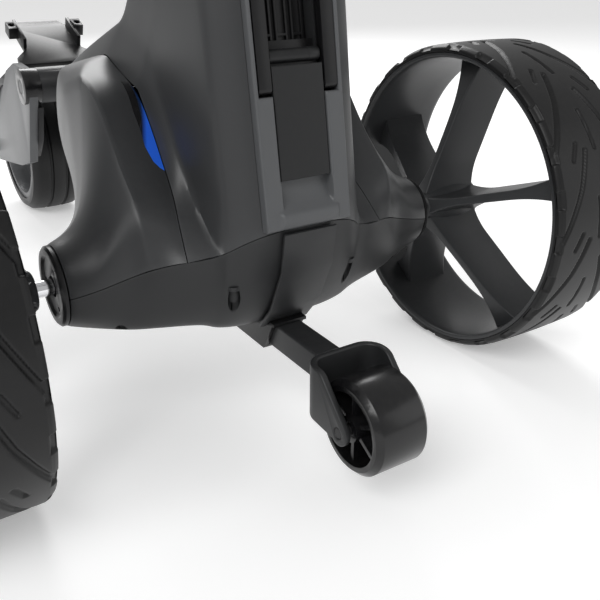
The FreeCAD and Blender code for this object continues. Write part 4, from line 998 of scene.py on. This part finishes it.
def blade(angle):
    points, faces, corner = [], [], 6
    slices = blade_slices()
    for r, inner, outer, narrow, wide in slices:
        soft = 1.6
        outline = []
        for cx, cw, start in ((inner + soft, narrow - soft, 90), (inner + soft, -narrow + soft, 180),
                              (outer - soft, -wide + soft, 270), (outer - soft, wide - soft, 0)):
            for k in range(corner + 1):
                turn = math.radians(start + 90 * k / corner)
                outline.append((cx + soft * math.cos(turn), cw + soft * math.sin(turn)))
        for x, w in outline:
            y = r * math.cos(angle) - w * math.sin(angle)
            z = r * math.sin(angle) + w * math.cos(angle)
            points.append(Vector((x / 1000, AXLE.y + y / 1000, AXLE.z + z / 1000)))
    count = 4 * (corner + 1)
    for i in range(len(slices) - 1):
        for k in range(count):
            m = (k + 1) % count
            faces.append((i * count + k, i * count + m, (i + 1) * count + m, (i + 1) * count + k))
    faces.append(tuple(range(count - 1, -1, -1)))
    faces.append(tuple(range((len(slices) - 1) * count, len(slices) * count)))
    return raw_piece("rim_blade", points, faces, "rim_plastic")


blades = [blade(math.radians(90 + 72 * k)) for k in range(5)]
rim = merged("wheel_right_rim_blades", barrel, hub, *blades)
mesh = bmesh.new()
mesh.from_mesh(rim.data)
bmesh.ops.recalc_face_normals(mesh, faces=mesh.faces)
mesh.to_mesh(rim.data)
mesh.free()
rim.data.set_sharp_from_angle(angle=math.radians(40))
other_rim = mirrored(rim, "wheel_left_rim_blades")
adopt(rim, "wheel_right", "trim_plastic", "wheel_right_rim")
adopt(other_rim, "wheel_left", "trim_plastic", "wheel_left_rim")
print("rim faces", len(rim.data.polygons))

# %% [markdown]
# ## Studio
# A pale floor, an even room and three large soft lights are enough for dark plastic: its shape
# shows through the long soft reflections of the lights rather than through shadows. The floor
# glows a little, like a light table, so it stays pale under the trolley.

# %% Floor
floor_mesh = bpy.data.meshes.new("floor")
floor_mesh.from_pydata([(-6, -6, 0), (6, -6, 0), (6, 6, 0), (-6, 6, 0)], [], [(0, 1, 2, 3)])
floor = bpy.data.objects.new("floor", floor_mesh)
scene.collection.objects.link(floor)
paper = bpy.data.materials.new("floor_paper")
paper.use_nodes = True
paper_tree = paper.node_tree
paper_shader = paper_tree.nodes["Principled BSDF"]
paper_color = mix_color(paper_tree, noise(paper_tree, 3.0, 2.0), (0.86, 0.86, 0.86, 1), (0.9, 0.9, 0.9, 1))
paper_tree.links.new(paper_color, paper_shader.inputs["Base Color"])
paper_shader.inputs["Roughness"].default_value = 0.9
paper_shader.inputs["Emission Color"].default_value = (1.0, 1.0, 1.0, 1)
paper_shader.inputs["Emission Strength"].default_value = 0.3
floor_mesh.materials.append(paper)
print("floor", floor.name)

# %% Lights
world = bpy.data.worlds.new("studio")
scene.world = world
world.use_nodes = True
world.node_tree.nodes["Background"].inputs["Color"].default_value = (1.0, 1.0, 1.0, 1)
world.node_tree.nodes["Background"].inputs["Strength"].default_value = 0.5


def soft_light(name, place, aim, size, power):
    data = bpy.data.lights.new(name, "AREA")
    data.shape = "RECTANGLE"
    data.size, data.size_y = size
    data.energy = power
    light = bpy.data.objects.new(name, data)
    light.location = place
    light.rotation_euler = (Vector(aim) - Vector(place)).to_track_quat("-Z", "Y").to_euler()
    scene.collection.objects.link(light)
    return light


soft_light("key_light", (-1.6, -1.2, 1.9), (0.0, -0.1, 0.25), (1.6, 1.2), 34)
soft_light("fill_light", (1.6, -1.8, 0.9), (0.1, -0.1, 0.2), (1.4, 1.4), 5)
soft_light("back_light", (0.6, 1.9, 1.6), (0.0, 0.0, 0.2), (2.0, 1.0), 38)

print("lights", len(bpy.data.lights))

# %% Camera
CAMERA_AT, CAMERA_AIM, LENS = (-0.282, -0.6691, 0.363), (0.4887, 0.7635, -0.4221), 45.76
camera_data = bpy.data.cameras.new("camera")
camera_data.lens = LENS
camera_data.sensor_width = 36.0
camera = bpy.data.objects.new("camera", camera_data)
camera.location = CAMERA_AT
camera.rotation_euler = Vector(CAMERA_AIM).to_track_quat("-Z", "Y").to_euler()
scene.collection.objects.link(camera)
scene.camera = camera
scene.view_settings.view_transform = "Standard"
print("lens", round(camera_data.lens, 2))
